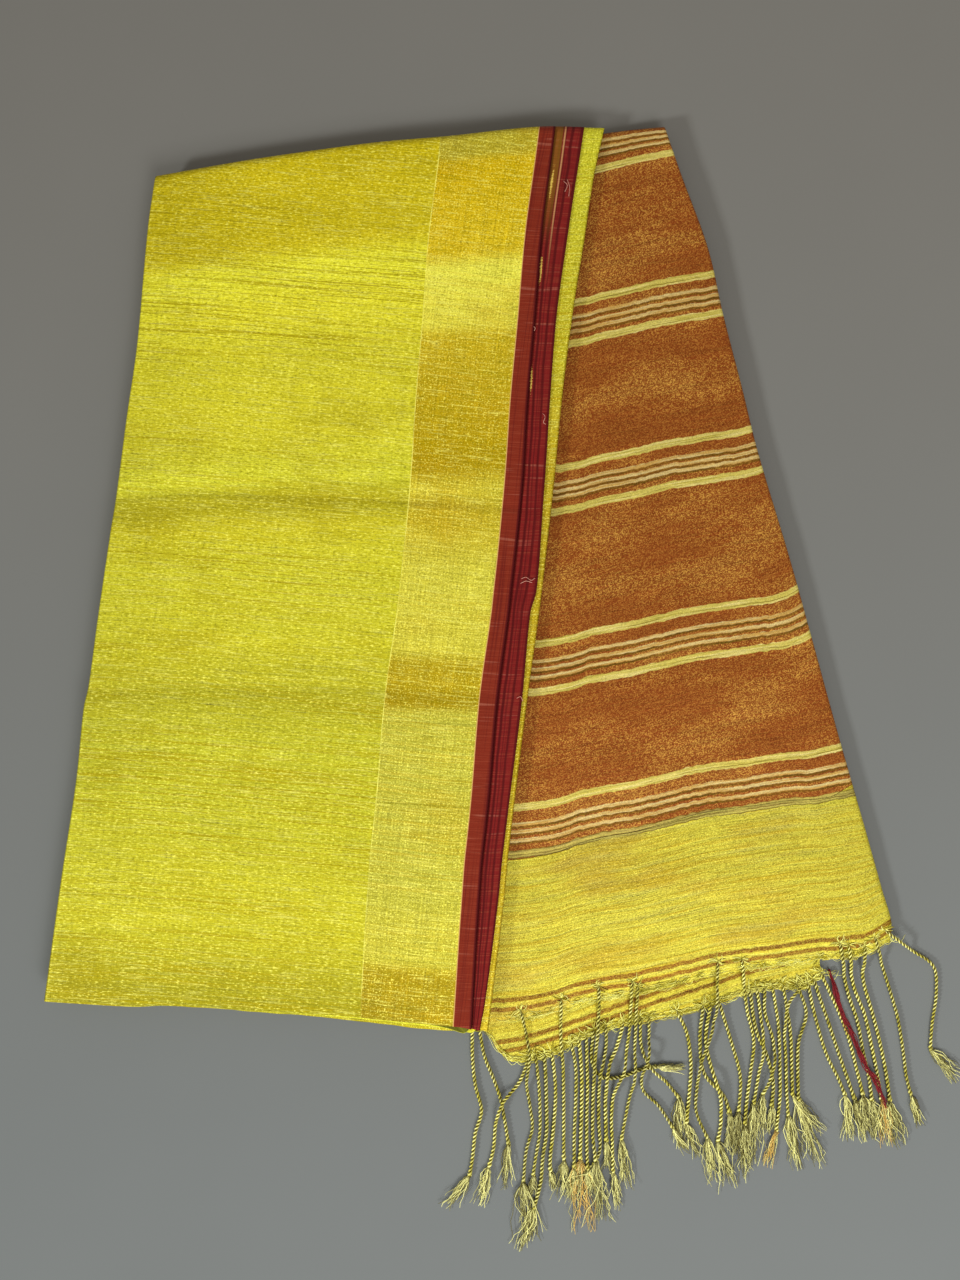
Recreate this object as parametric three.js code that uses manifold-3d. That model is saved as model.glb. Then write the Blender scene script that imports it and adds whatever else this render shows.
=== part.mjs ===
// A handwoven tissue saree, folded in four across its width, then back and forth along its length.
// It lies flat. The decorated end, the pallu, is drawn out to the right from under the pack, with its
// knotted fringe below. Millimetres: X runs across the pack, Y runs along it towards its top fold, and
// Z is up from the surface it lies on.
import * as THREE from 'three';
import { mergeVertices } from 'three/addons/utils/BufferGeometryUtils.js';
import Module from 'manifold-3d';

const wasm = await Module();
wasm.setup();

// ---------- driving dimensions ----------
const SEAM = 0.3;              // gap between two pieces that meet
const CLOTH = 1.6;             // wall of the top sheets, nap and all
const PACK_HEIGHT = 16;        // top of the folded pack
const UNDER_TOP = 14.5;        // top of the second sheet's selvedge
const CENTRE_TOP = 13.2;       // top of the centre fold
const PILE_HEIGHT = 3.6;       // one folded length in the hidden pile
const GROOVE = 1.4;            // how deep the pile's layers are cut back between two lengths
const EASE = 0.3;              // how far the layers stay inside the outline
const TUCK = 4.4;              // how far the pallu lies in under the pack
const PALLU_CLOTH = 1.4;       // wall of the pallu's top sheet
const PALLU_FOLD_DROP = 3.6;   // depth of the pallu's folded edge
const LOWER_SHEET = 1.7;       // thickness of the lower sheet's end
const STRIP_WIDTH = 3;         // woven heading that the fringe is knotted into
const STRAND_RADIUS = 1.8;     // a twisted fringe cord
const STRAND_STEP = 6;         // length of one straight piece of a cord
const FINE_PER_STEP = 4;       // a cord's height is worked out this many times on each piece
const FLOOR_CLEARANCE = 0.25;  // the fringe ends just above the surface

// ---------- outline of the pack: edge positions along each side ----------
const LEFT_EDGE = [
  { y: -237, x: -286 }, { y: -158, x: -275 }, { y: -92, x: -265 }, { y: -44, x: -260 }, { y: -31, x: -257 },
  { y: 13, x: -251 }, { y: 74, x: -242 }, { y: 92, x: -239 }, { y: 145, x: -232 }, { y: 194, x: -225 },
  { y: 270, x: -218 }, { y: 305, x: -213 },
];
const RIGHT_EDGE = [
  { y: -260, x: 5 }, { y: -237, x: 8 }, { y: -171, x: 16 }, { y: -139, x: 19 }, { y: -41, x: 31 },
  { y: 25, x: 40 }, { y: 105, x: 49 }, { y: 158, x: 54 }, { y: 214, x: 61 }, { y: 265, x: 69 },
  { y: 305, x: 75 }, { y: 337, x: 82 },
];
const BOTTOM_EDGE = [
  { x: -286, y: -237 }, { x: -226, y: -241 }, { x: -165, y: -246.5 }, { x: -105, y: -251.5 },
  { x: -44, y: -258.5 }, { x: -14, y: -260.5 }, { x: 5, y: -260 },
];
const TOP_EDGE = [
  { x: -213, y: 305 }, { x: -153, y: 315.5 }, { x: -105, y: 322.5 }, { x: -66, y: 327.5 },
  { x: -20, y: 331.5 }, { x: 38, y: 337.5 }, { x: 82, y: 337 },
];

// Widths of the woven bands at the pack's right side, from the top fold (along = 1) to the bottom fold (0).
const BANDS = [
  { along: 0, centreFold: 6, under: 5, selvedge: 12.5, border: 59.5 },
  { along: 0.04, centreFold: 4.5, under: 8.5, selvedge: 12, border: 61 },
  { along: 0.15, centreFold: 4, under: 13, selvedge: 11.5, border: 61.5 },
  { along: 0.26, centreFold: 3.6, under: 14, selvedge: 11.5, border: 61.5 },
  { along: 0.37, centreFold: 3.6, under: 16.5, selvedge: 12, border: 61.5 },
  { along: 0.465, centreFold: 6, under: 14.5, selvedge: 11.5, border: 61.5 },
  { along: 0.49, centreFold: 3.8, under: 17, selvedge: 11.5, border: 61.5 },
  { along: 0.59, centreFold: 6, under: 15, selvedge: 12, border: 61.5 },
  { along: 0.7, centreFold: 8, under: 15, selvedge: 11.5, border: 62 },
  { along: 0.79, centreFold: 10.5, under: 14.5, selvedge: 11.5, border: 62.5 },
  { along: 0.88, centreFold: 11.5, under: 17.5, selvedge: 11, border: 63.5 },
  { along: 0.95, centreFold: 11.5, under: 18.5, selvedge: 11, border: 64 },
  { along: 1, centreFold: 13.5, under: 19.5, selvedge: 10.5, border: 64.5 },
];

// How far the top sheet's bottom fold lies back from the folds under it, across the pack.
const TOP_SHEET_BACK = [
  { across: 0, back: 0.2 }, { across: 0.2, back: 0.6 }, { across: 0.27, back: 3 }, { across: 0.4, back: 4.6 },
  { across: 0.6, back: 6 }, { across: 0.72, back: 7.2 }, { across: 0.93, back: 7 }, { across: 1, back: 2.2 },
];

// Creases across the top sheet: where along the pack, how deep, and how wide.
const CREASES = [
  { left: 0.615, right: 0.577, depth: 0.75, width: 4 },
  { left: 0.379, right: 0.377, depth: 0.45, width: 7 },
  { left: 0.87, right: 0.86, depth: 0.3, width: 12 },
  { left: 0.075, right: 0.07, depth: 0.3, width: 14 },
];

// ---------- outline of the pallu ----------
const PALLU_FOLD_EDGE = [
  { y: -200, x: 274 }, { y: -187, x: 274 }, { y: -167, x: 268 }, { y: -128, x: 257 }, { y: -62, x: 238 },
  { y: 3, x: 220 }, { y: 53, x: 206 }, { y: 126, x: 184 }, { y: 166, x: 174 }, { y: 216, x: 161 },
  { y: 259, x: 151 }, { y: 308, x: 133 }, { y: 325, x: 127 }, { y: 339.5, x: 122 },
];
const PALLU_END = [
  { x: -6, y: -254.5 }, { x: 8, y: -254 }, { x: 26, y: -252.5 }, { x: 46, y: -249 }, { x: 60, y: -244 },
  { x: 78, y: -240 }, { x: 104, y: -236 }, { x: 133, y: -229 }, { x: 157, y: -223 }, { x: 196, y: -217.5 },
  { x: 222, y: -213.5 }, { x: 255, y: -210 }, { x: 268, y: -203.5 }, { x: 274, y: -200 },
];
const PALLU_TOP = [{ x: 77, y: 336.5 }, { x: 100, y: 338.5 }, { x: 122, y: 339.5 }];
const LOWER_END = [
  { x: -12, y: -257 }, { x: -3, y: -258.5 }, { x: 5, y: -263 }, { x: 12, y: -274 }, { x: 21, y: -281.5 },
  { x: 31, y: -281.5 }, { x: 50, y: -277 }, { x: 71, y: -266 }, { x: 92, y: -259 }, { x: 113, y: -254.5 },
  { x: 133, y: -250.5 }, { x: 150, y: -246 }, { x: 176, y: -237.5 }, { x: 193, y: -233.5 },
  { x: 217, y: -232.5 }, { x: 229, y: -225 },
];
// Height of the pallu's top sheet: beside the pack and at its own fold, by distance from its fringed end.
const PALLU_RISE = [
  { from: 0, inner: 3.9, outer: 3.9 }, { from: 16, inner: 5.4, outer: 5.5 },
  { from: 60, inner: 6.4, outer: 6.2 }, { from: 200, inner: 6.5, outer: 7.2 },
  { from: 400, inner: 6.5, outer: 9 }, { from: 600, inner: 6.5, outer: 11 },
];
const END_BAND = 109;          // length of the plain gold band at the pallu's end
const PALLU_LAYERS_START = 16; // the hidden layers of the pallu begin this far from its end

// ---------- the fringe: where each cord is knotted in, and the bends of its route down to the tip ----------
const LOWER_FRINGE = [
  { root: 76, bends: [[75, -282], [81, -292], [94, -292], [108, -287], [118, -285], [137, -286]] },
  { root: -5, bends: [[-5, -278], [-3, -298], [1, -315], [-3, -329], [-5, -346], [-7, -358], [-21, -380]] },
  { root: -1, bends: [[3, -278], [9, -293], [14, -308], [17, -324], [19, -337], [17, -367]] },
  { root: 33, bends: [[26, -296], [16, -307], [11, -320], [9, -340], [6, -352], [-1, -378]] },
  { root: 37, bends: [[39, -293], [40, -310], [40, -329], [37, -347], [35.5, -358], [35, -371]] },
  { root: 43, bends: [[44, -293], [44.5, -310], [44.5, -329], [42, -346], [40.5, -363],
    [36, -380], [27, -408]] },
  { root: 48, bends: [[50, -292], [50.5, -305], [49, -328], [47, -346], [47, -355], [49, -368]] },
  { root: 61, bends: [[64, -286], [64, -308], [63, -332], [63, -353], [61, -376]] },
  { root: 66, bends: [[68, -289], [68, -310], [67.5, -328], [67, -347], [68, -396]] },
  { root: 71, bends: [[71.5, -280], [72, -298], [71.5, -317], [71.5, -340], [72, -354], [75, -372]] },
  { root: 84, bends: [[84, -274], [80, -291], [79.5, -303], [79.5, -322], [80, -341], [76, -351],
    [56, -366]] },
  { root: 96, bends: [[91, -273], [86, -285], [84, -303], [84, -318], [84.5, -335], [85, -355]] },
  { root: 107, bends: [[108, -272], [113, -284], [124, -295], [133, -306], [134, -339]] },
  { root: 113, bends: [[112, -277], [108, -289], [109, -301], [119, -311], [129, -326], [139, -343]] },
  { root: 131, bends: [[138, -262], [141, -283], [140, -302], [138, -323], [146, -345]] },
  { root: 149, bends: [[147, -268], [150, -290], [163, -305], [167, -316], [167, -345]] },
  { root: 154, bends: [[151, -268], [155, -287], [160, -304], [161, -322], [159, -335], [168, -367]] },
  { root: 159, bends: [[169, -272], [174, -292], [173, -315], [172, -348]] },
  { root: 180, bends: [[185, -262], [191.5, -277], [196, -296], [195, -312], [193.5, -330]] },
  { root: 184.5, bends: [[188, -255], [188.5, -276], [185.5, -295], [183, -310], [184, -352]] },
  { root: 190, bends: [[190.5, -249], [196, -268], [196, -283], [189, -304], [188, -330]] },
  { root: 195, bends: [[199.5, -258], [200.5, -286], [200.5, -306], [198, -328], [192, -352]] },
  { root: 202, bends: [[207.5, -262], [208.5, -286], [209, -305], [228, -330]] },
  { root: 211, bends: [[218, -249], [213, -269], [212.5, -288], [213, -308], [225, -352]] },
  { root: 215, bends: [[205, -243], [203.5, -260], [204.5, -279], [205, -301], [206, -318], [213, -354]] },
  { root: 218.5, bends: [[226, -259], [232, -278], [239, -292], [244, -304], [248, -334]] },
  { root: 222.5, bends: [[233, -256], [240, -277], [246, -294], [250.5, -307], [256, -335]] },
  { root: 227, bends: [[240, -249], [247, -268], [252, -288], [256, -304], [262, -334]] },
];
const UPPER_FRINGE = [
  { root: 27, bends: [[31, -264], [33, -278], [31, -295], [33.5, -312], [35, -326], [31, -341],
    [29, -362], [34, -401]] },
  { root: 54, bends: [[54, -265], [55.5, -284], [56, -308], [56, -328], [56, -347], [54, -373]] },
  { root: 79, bends: [[79, -255], [77, -274], [76, -293], [75.5, -313], [75.5, -332], [77, -347],
    [81, -389]] },
  { root: 101, bends: [[100, -257], [98, -274], [96, -288], [90, -301], [88, -318], [88.5, -336],
    [89, -356], [92, -381]] },
  { root: 105, bends: [[104, -257], [103.5, -274], [103, -293], [99, -310], [94.5, -334], [98, -367]] },
  { root: 158, bends: [[157, -250], [153, -266], [147, -283], [145, -300], [144.5, -315],
    [152, -333], [157, -363]] },
  { root: 174, bends: [[178, -245], [183, -268], [181, -288], [178.5, -307], [177, -324], [178, -362]] },
  { root: 239, bends: [[246, -236], [252, -254], [256, -275], [260, -293], [262, -308], [268, -334]] },
  { root: 245, bends: [[250, -232], [257, -250], [261.5, -270], [265.5, -290], [268.5, -308],
    [275, -338]] },
  { root: 256, bends: [[256, -226], [262.5, -250], [267.5, -270], [271.5, -290], [274, -308],
    [282, -339]] },
  { root: 262, bends: [[272, -228], [279, -252], [283, -276], [285, -292], [288, -304], [295, -325]] },
  { root: 268.5, bends: [[288, -207], [303, -218], [305, -235], [302, -258], [301, -274], [319, -295]] },
];
// A bundle of loose dyed warp threads that hangs out beside the cords.
const LOOSE_WARP = [
  { start: [233.5, -220],
    bends: [[236, -231], [241, -247], [251, -271], [258, -286], [265, -296], [271, -312]] },
  { start: [236.2, -220],
    bends: [[239, -230], [244, -246], [254, -270], [261, -284], [268.5, -295], [276, -308]] },
];
const WARP_RADIUS = 1;
const WARP_KNOT = { left: 232, right: 237.5, low: -222, high: -218.5, bottom: 0.3, top: 2.1 };

// ---------- colours ----------
const TISSUE_GOLD = 0xd6ce34;
const BORDER_GOLD = 0xc9a51c;
const PLIED_GOLD = 0xc4b04a;
const SELVEDGE_RED = 0x7e2f20;
const UNDER_RED = 0x732019;
const RUST = 0x9d5c2a;
const INNER_GOLD = 0xb3a52c;
const MAROON = 0x5e1018;

// ---------- small helpers ----------
const mix = (a, b, t) => a + (b - a) * t;
const clamp = (value, low, high) => Math.min(high, Math.max(low, value));

/** A smooth curve through a table's rows: cubic pieces whose slopes are those of the neighbours. */
function through(rows, key, value) {
  const at = rows.map((row) => row[key]);
  const is = rows.map((row) => row[value]);
  const slope = at.map((_, i) => {
    const before = Math.max(0, i - 1);
    const after = Math.min(at.length - 1, i + 1);
    return (is[after] - is[before]) / (at[after] - at[before]);
  });
  return (where) => {
    const x = clamp(where, at[0], at[at.length - 1]);
    let i = 0;
    while (i < at.length - 2 && x > at[i + 1]) i += 1;
    const span = at[i + 1] - at[i];
    const t = (x - at[i]) / span;
    const t2 = t * t;
    const t3 = t2 * t;
    return (2 * t3 - 3 * t2 + 1) * is[i] + (t3 - 2 * t2 + t) * span * slope[i]
      + (3 * t2 - 2 * t3) * is[i + 1] + (t3 - t2) * span * slope[i + 1];
  };
}

/** A patch spanned between four edge curves that share their corners: u runs to the right, v runs up. */
function coonsPatch(left, right, bottom, top) {
  const corner = { lb: left(0), rb: right(0), lt: left(1), rt: right(1) };
  return (u, v) => [0, 1].map((k) => (
    (1 - u) * left(v)[k] + u * right(v)[k] + (1 - v) * bottom(u)[k] + v * top(u)[k]
    - (1 - u) * (1 - v) * corner.lb[k] - u * (1 - v) * corner.rb[k]
    - (1 - u) * v * corner.lt[k] - u * v * corner.rt[k]));
}

/** An edge that runs up from one height to another, its x given by a curve and moved aside to the left. */
const edgeUp = (curve, low, high, aside = 0) => (v) => {
  const y = mix(low, high, v);
  return [curve(y) - aside, y];
};

/** An edge that runs right from one place to another, its y given by a curve. */
const edgeAcross = (curve, low, high) => (u) => {
  const x = mix(low, high, u);
  return [x, curve(x)];
};

const first = (rows) => rows[0];
const last = (rows) => rows[rows.length - 1];
const distance = (p, q) => Math.hypot(p[0] - q[0], p[1] - q[1]);

// ---------- the pack's plan ----------
const leftX = through(LEFT_EDGE, 'y', 'x');
const rightX = through(RIGHT_EDGE, 'y', 'x');
const bottomY = through(BOTTOM_EDGE, 'x', 'y');
const topY = through(TOP_EDGE, 'x', 'y');

const packPatch = coonsPatch(
  edgeUp(leftX, first(LEFT_EDGE).y, last(LEFT_EDGE).y),
  edgeUp(rightX, first(RIGHT_EDGE).y, last(RIGHT_EDGE).y),
  edgeAcross(bottomY, first(BOTTOM_EDGE).x, last(BOTTOM_EDGE).x),
  edgeAcross(topY, first(TOP_EDGE).x, last(TOP_EDGE).x),
);
const packWidth = (v) => distance(packPatch(0, v), packPatch(1, v));
const packLength = (u) => distance(packPatch(u, 0), packPatch(u, 1));

const bandWidth = {
  centreFold: through(BANDS, 'along', 'centreFold'),
  under: through(BANDS, 'along', 'under'),
  selvedge: through(BANDS, 'along', 'selvedge'),
  border: through(BANDS, 'along', 'border'),
};
const sheetBack = through(TOP_SHEET_BACK, 'across', 'back');

/** Distance from the pack's right edge to where each band begins. */
const toCentreFold = (v) => bandWidth.centreFold(v);
const toUnder = (v) => toCentreFold(v) + bandWidth.under(v);
const toSelvedge = (v) => toUnder(v) + bandWidth.selvedge(v);
const toBorder = (v) => toSelvedge(v) + bandWidth.border(v);

/** How far the creases sink the top sheet at a place of the pack. */
function creaseDepth(u, v) {
  return CREASES.reduce((depth, crease) => {
    const off = (v - mix(crease.left, crease.right, u)) * packLength(u);
    return depth + crease.depth * Math.exp(-((off / crease.width) ** 2));
  }, 0);
}

// ---------- closed meshes from grids and loops ----------
function meshGeometry(points, faces) {
  const geometry = new THREE.BufferGeometry();
  geometry.setAttribute('position', new THREE.Float32BufferAttribute(points.flat(), 3));
  geometry.setIndex(faces.flat());
  geometry.computeVertexNormals();
  return geometry;
}

/** Indices of a grid's border, anticlockwise from above, for `across` columns of `along` points. */
function borderOf(across, along) {
  const ring = [];
  for (let i = 0; i < across - 1; i += 1) ring.push(i * along);
  for (let j = 0; j < along - 1; j += 1) ring.push((across - 1) * along + j);
  for (let i = across - 1; i > 0; i -= 1) ring.push(i * along + along - 1);
  for (let j = along - 1; j > 0; j -= 1) ring.push(j);
  return ring;
}

/** A closed solid between a top grid and a bottom grid of points, with loops of rim points between. */
function slabGeometry(top, bottom, rims = []) {
  const across = top.length;
  const along = top[0].length;
  const points = [...top.flat(), ...bottom.flat()];
  const faces = [];
  const below = across * along;
  for (let i = 0; i < across - 1; i += 1) {
    for (let j = 0; j < along - 1; j += 1) {
      const a = i * along + j;
      const b = a + along;
      faces.push([a, b, b + 1], [a, b + 1, a + 1]);
      faces.push([below + a, below + b + 1, below + b], [below + a, below + a + 1, below + b + 1]);
    }
  }
  const ring = borderOf(across, along);
  const loops = [ring];
  rims.forEach((rim) => {
    loops.push(rim.map((_, k) => points.length + k));
    points.push(...rim);
  });
  loops.push(ring.map((k) => below + k));
  for (let l = 0; l < loops.length - 1; l += 1) {
    const upper = loops[l];
    const lower = loops[l + 1];
    upper.forEach((_, k) => {
      const next = (k + 1) % upper.length;
      faces.push([upper[k], lower[k], lower[next]], [upper[k], lower[next], upper[next]]);
    });
  }
  return meshGeometry(points, faces);
}

/** A closed solid from level loops, lowest first, with flat caps. */
function pileGeometry(loops) {
  const count = loops[0].length;
  const points = loops.flat();
  const faces = [];
  for (let l = 0; l < loops.length - 1; l += 1) {
    for (let k = 0; k < count; k += 1) {
      const a = l * count + k;
      const b = l * count + ((k + 1) % count);
      faces.push([a, b, b + count], [a, b + count, a + count]);
    }
  }
  const flat = (loop) => loop.map(([x, y]) => new THREE.Vector2(x, y));
  const capOf = (loop) => THREE.ShapeUtils.triangulateShape(flat(loop), []);
  capOf(loops[0]).forEach(([a, b, c]) => faces.push([a, c, b]));
  const lift = points.length - count;
  capOf(last(loops)).forEach(([a, b, c]) => faces.push([lift + a, lift + b, lift + c]));
  return meshGeometry(points, faces);
}

/** A named mesh with its finish. */
function piece(name, geometry, color, roughness, metalness) {
  const made = new THREE.Mesh(geometry, new THREE.MeshStandardMaterial({ color, roughness, metalness }));
  made.name = name;
  return made;
}

// ---------- sheets that lie on the pack ----------
const DEEPEST_FALL = 5.2;      // where two folds meet at a corner, the sheet falls no further than this
const TOP_FOLD_RADIUS = 7;     // the pack's top fold
const END_FOLD_RADIUS = 2.2;   // its bottom fold
const SIDE_FOLD_RADIUS = 3;    // its left fold
const CENTRE_FOLD_RADIUS = 2.4;

/**
 * Stations across a rounded fold of the given radius and drop. Each has its distance in from the fold's
 * outermost line and how far it lies below the flat, for both faces of a wall of that thickness.
 */
function foldStations(radius, drop, thickness) {
  const share = [[0, 1], [0.045, 0.66], [0.15, 0.42], [0.36, 0.2], [0.65, 0.06]];
  return share.map(([out, down]) => ({
    outer: out * radius,
    outerDrop: down * drop,
    inner: thickness + out * (radius - thickness),
    innerDrop: down * (drop - thickness),
  }));
}

/** The stations of a shallow fold, one fewer than a deep fold's. */
const shallowFold = (radius, drop, thickness) => (
  foldStations(radius, drop, thickness).filter((_, k) => k !== 1));

/**
 * One band of a sheet on the pack. `start` and `end` give its left and right limits as distances from the
 * pack's left edge, `shares` its inner columns, `rows` its inner rows; folds are the stations at the sides
 * that turn down.
 */
function packSheet({
  start, end, shares, rows, level, thickness, creased, topFold, bottomFold, leftFold = [], rightFold = [],
}) {
  const leftRadius = leftFold.length ? SIDE_FOLD_RADIUS : 0;
  const rightRadius = rightFold.length ? CENTRE_FOLD_RADIUS : 0;
  const columns = [
    ...leftFold.map((s) => ({ side: 'left', ...s })),
    ...shares.map((share) => ({ side: 'flat', share, outerDrop: 0, innerDrop: 0 })),
    ...[...rightFold].reverse().map((s) => ({ side: 'right', ...s })),
  ];
  const lines = [
    ...bottomFold.map((s) => ({ side: 'bottom', ...s })),
    ...rows.map((share) => ({ side: 'flat', share, outerDrop: 0, innerDrop: 0 })),
    ...[...topFold].reverse().map((s) => ({ side: 'top', ...s })),
  ];
  const acrossPack = (column) => {
    if (column.side === 'left') return 0;
    if (column.side === 'right') return 1;
    return mix(start(0.5), end(0.5), column.share) / packWidth(0.5);
  };
  const place = (column, line, face, drop) => {
    const roughU = acrossPack(column);
    const lengthHere = packLength(roughU);
    const backHere = sheetBack(roughU);
    let v = mix((backHere + END_FOLD_RADIUS) / lengthHere, 1 - TOP_FOLD_RADIUS / lengthHere, line.share ?? 0);
    if (line.side === 'bottom') v = (backHere + line[face]) / lengthHere;
    if (line.side === 'top') v = 1 - line[face] / lengthHere;
    const from = start(v) + leftRadius;
    const to = end(v) - rightRadius;
    let a = mix(from, to, column.share ?? 0);
    if (column.side === 'left') a = start(v) + column[face];
    if (column.side === 'right') a = end(v) - column[face];
    const u = a / packWidth(v);
    const [x, y] = packPatch(u, v);
    const below = face === 'inner' ? thickness : 0;
    const fall = Math.min(DEEPEST_FALL - below, Math.hypot(column[drop], line[drop]));
    const sunk = creased * creaseDepth(u, v) * (1 - fall / (DEEPEST_FALL - below));
    return [x, y, level - below - sunk - fall];
  };
  const outer = columns.map((column) => lines.map((line) => place(column, line, 'outer', 'outerDrop')));
  const inner = columns.map((column) => lines.map((line) => place(column, line, 'inner', 'innerDrop')));
  return slabGeometry(outer, inner);
}

const SHEET_ROWS = [
  0, 0.035, 0.075, 0.12, 0.19, 0.26, 0.33, 0.36, 0.378, 0.396, 0.43, 0.48, 0.53, 0.575, 0.592, 0.602,
  0.612, 0.63, 0.68, 0.74, 0.8, 0.84, 0.87, 0.9, 0.95, 1,
];
const mainTopFold = foldStations(TOP_FOLD_RADIUS, 5, CLOTH);
const mainBottomFold = shallowFold(END_FOLD_RADIUS, 2.4, CLOTH);

const bodyField = piece('body_field', packSheet({
  start: () => 0,
  end: (v) => packWidth(v) - toBorder(v) - SEAM / 2,
  shares: [0, 0.06, 0.2, 0.4, 0.6, 0.8, 1],
  rows: SHEET_ROWS,
  level: PACK_HEIGHT,
  thickness: CLOTH,
  creased: 1,
  topFold: mainTopFold,
  bottomFold: mainBottomFold,
  leftFold: foldStations(SIDE_FOLD_RADIUS, 5, CLOTH),
}), TISSUE_GOLD, 0.42, 0.45);

const goldBorder = piece('gold_border', packSheet({
  start: (v) => packWidth(v) - toBorder(v) + SEAM / 2,
  end: (v) => packWidth(v) - toSelvedge(v) - SEAM / 2,
  shares: [0, 0.5, 1],
  rows: SHEET_ROWS,
  level: PACK_HEIGHT,
  thickness: CLOTH,
  creased: 1,
  topFold: mainTopFold,
  bottomFold: mainBottomFold,
}), BORDER_GOLD, 0.35, 0.6);

const selvedgeTop = piece('selvedge_top', packSheet({
  start: (v) => packWidth(v) - toSelvedge(v) + SEAM / 2,
  end: (v) => packWidth(v) - toUnder(v) - SEAM / 2,
  shares: [0, 1],
  rows: SHEET_ROWS,
  level: PACK_HEIGHT,
  thickness: CLOTH,
  creased: 1,
  topFold: mainTopFold,
  bottomFold: mainBottomFold,
}), SELVEDGE_RED, 0.75, 0);

const selvedgeUnder = piece('selvedge_under', packSheet({
  start: (v) => packWidth(v) - toUnder(v) + SEAM / 2,
  end: (v) => packWidth(v) - toCentreFold(v) - SEAM / 2,
  shares: [0, 0.35, 1],
  rows: SHEET_ROWS,
  level: UNDER_TOP,
  thickness: CLOTH,
  creased: 0.5,
  topFold: foldStations(TOP_FOLD_RADIUS, 3.5, CLOTH),
  bottomFold: mainBottomFold,
}), UNDER_RED, 0.75, 0);

const centreFold = piece('centre_fold', packSheet({
  start: (v) => packWidth(v) - toCentreFold(v) + SEAM / 2,
  end: (v) => packWidth(v),
  shares: [0, 1],
  rows: SHEET_ROWS,
  level: CENTRE_TOP,
  thickness: PALLU_CLOTH,
  creased: 0.3,
  topFold: foldStations(TOP_FOLD_RADIUS, 2.2, PALLU_CLOTH),
  bottomFold: shallowFold(END_FOLD_RADIUS, 2.2, PALLU_CLOTH),
  rightFold: foldStations(CENTRE_FOLD_RADIUS, 5, PALLU_CLOTH),
}), TISSUE_GOLD, 0.42, 0.45);

// ---------- hidden folded lengths of the pack, one solid whose sides show their layers ----------
const CORNER_RADIUS = 4;
const POINTS_ON_SIDE = { bottom: 10, right: 14, top: 8, left: 12, corner: 3 };

/** One level loop of the pile: each side is set in from the outline by its own amount, corners rounded. */
function pileLoop({ z, left, right, top, bottom }) {
  const nominalWidth = packWidth(0.5);
  const nominalLength = packLength(0.5);
  const inset = (value, t) => (typeof value === 'function' ? value(t) : value);
  const spots = [];
  const add = (a, b) => spots.push([a / nominalWidth, b / nominalLength]);
  const sideX = { left: (v) => inset(left, v), right: (v) => nominalWidth - inset(right, v) };
  const sideY = { bottom: (u) => inset(bottom, u), top: (u) => nominalLength - inset(top, u) };
  const r = CORNER_RADIUS;
  const corner = (cx, cy, turn) => {
    for (let k = 1; k <= POINTS_ON_SIDE.corner; k += 1) {
      const angle = (turn + k / (POINTS_ON_SIDE.corner + 1)) * Math.PI / 2;
      add(cx + r * Math.cos(angle), cy + r * Math.sin(angle));
    }
  };
  const side = (count, at) => {
    for (let k = 0; k <= count; k += 1) at(k / count);
  };
  side(POINTS_ON_SIDE.bottom, (t) => {
    const a = mix(sideX.left(0) + r, sideX.right(0) - r, t);
    add(a, sideY.bottom(a / nominalWidth));
  });
  corner(sideX.right(0) - r, sideY.bottom(1) + r, 3);
  side(POINTS_ON_SIDE.right, (t) => {
    const b = mix(sideY.bottom(1) + r, sideY.top(1) - r, t);
    add(sideX.right(b / nominalLength), b);
  });
  corner(sideX.right(1) - r, sideY.top(1) - r, 0);
  side(POINTS_ON_SIDE.top, (t) => {
    const a = mix(sideX.right(1) - r, sideX.left(1) + r, t);
    add(a, sideY.top(a / nominalWidth));
  });
  corner(sideX.left(1) + r, sideY.top(0) - r, 1);
  side(POINTS_ON_SIDE.left, (t) => {
    const b = mix(sideY.top(0) - r, sideY.bottom(0) + r, t);
    add(sideX.left(b / nominalLength), b);
  });
  corner(sideX.left(0) + r, sideY.bottom(0) + r, 2);
  return spots.map(([u, v]) => [...packPatch(u, v), z]);
}

const PALLU_RECESS = TUCK + 0.8;   // the lower lengths stay clear of the pallu that lies in under them
const FRINGE_RECESS = 8;           // the lowest length stays clear of the pallu's end at the pack's corner
const fringeCorner = (u) => (u > 0.9 ? FRINGE_RECESS : EASE);

/** The rows of one folded length: cut back at its bottom and top, out at the outline between them. */
function lengthRows(level, right, bottom) {
  const floor = level * PILE_HEIGHT;
  return [[0.05, GROOVE], [0.7, EASE], [2.9, EASE], [3.55, GROOVE]].map(([up, back]) => ({
    z: floor + (level === 0 && up < 0.1 ? 0 : up),
    left: back,
    top: back,
    right: back + right,
    bottom: bottom ? (u) => back + bottom(u) : back,
  }));
}

const bandStep = (toBand) => (v) => toBand(v) + 1.4;
const pileRows = [
  ...lengthRows(0, PALLU_RECESS - EASE, (u) => fringeCorner(u) - EASE),
  ...lengthRows(1, PALLU_RECESS - EASE),
  ...lengthRows(2, 1.8),
  { z: 10.85, left: 2.5, top: 2.6, bottom: (u) => sheetBack(u) + 2.1, right: 2.7 },
  { z: 11.3, left: 2.6, top: 2.7, bottom: (u) => sheetBack(u) + 2.2, right: 2.9 },
  { z: 11.35, left: 2.6, top: 2.7, bottom: (u) => sheetBack(u) + 2.2, right: bandStep(toCentreFold) },
  { z: 11.9, left: 2.6, top: 3.8, bottom: (u) => sheetBack(u) + 2.4, right: bandStep(toCentreFold) },
  { z: 11.95, left: 2.6, top: 3.8, bottom: (u) => sheetBack(u) + 2.4, right: bandStep(toUnder) },
  { z: 13.2, left: 3.3, top: 4.6, bottom: (u) => sheetBack(u) + 3, right: bandStep(toUnder) },
];
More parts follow.
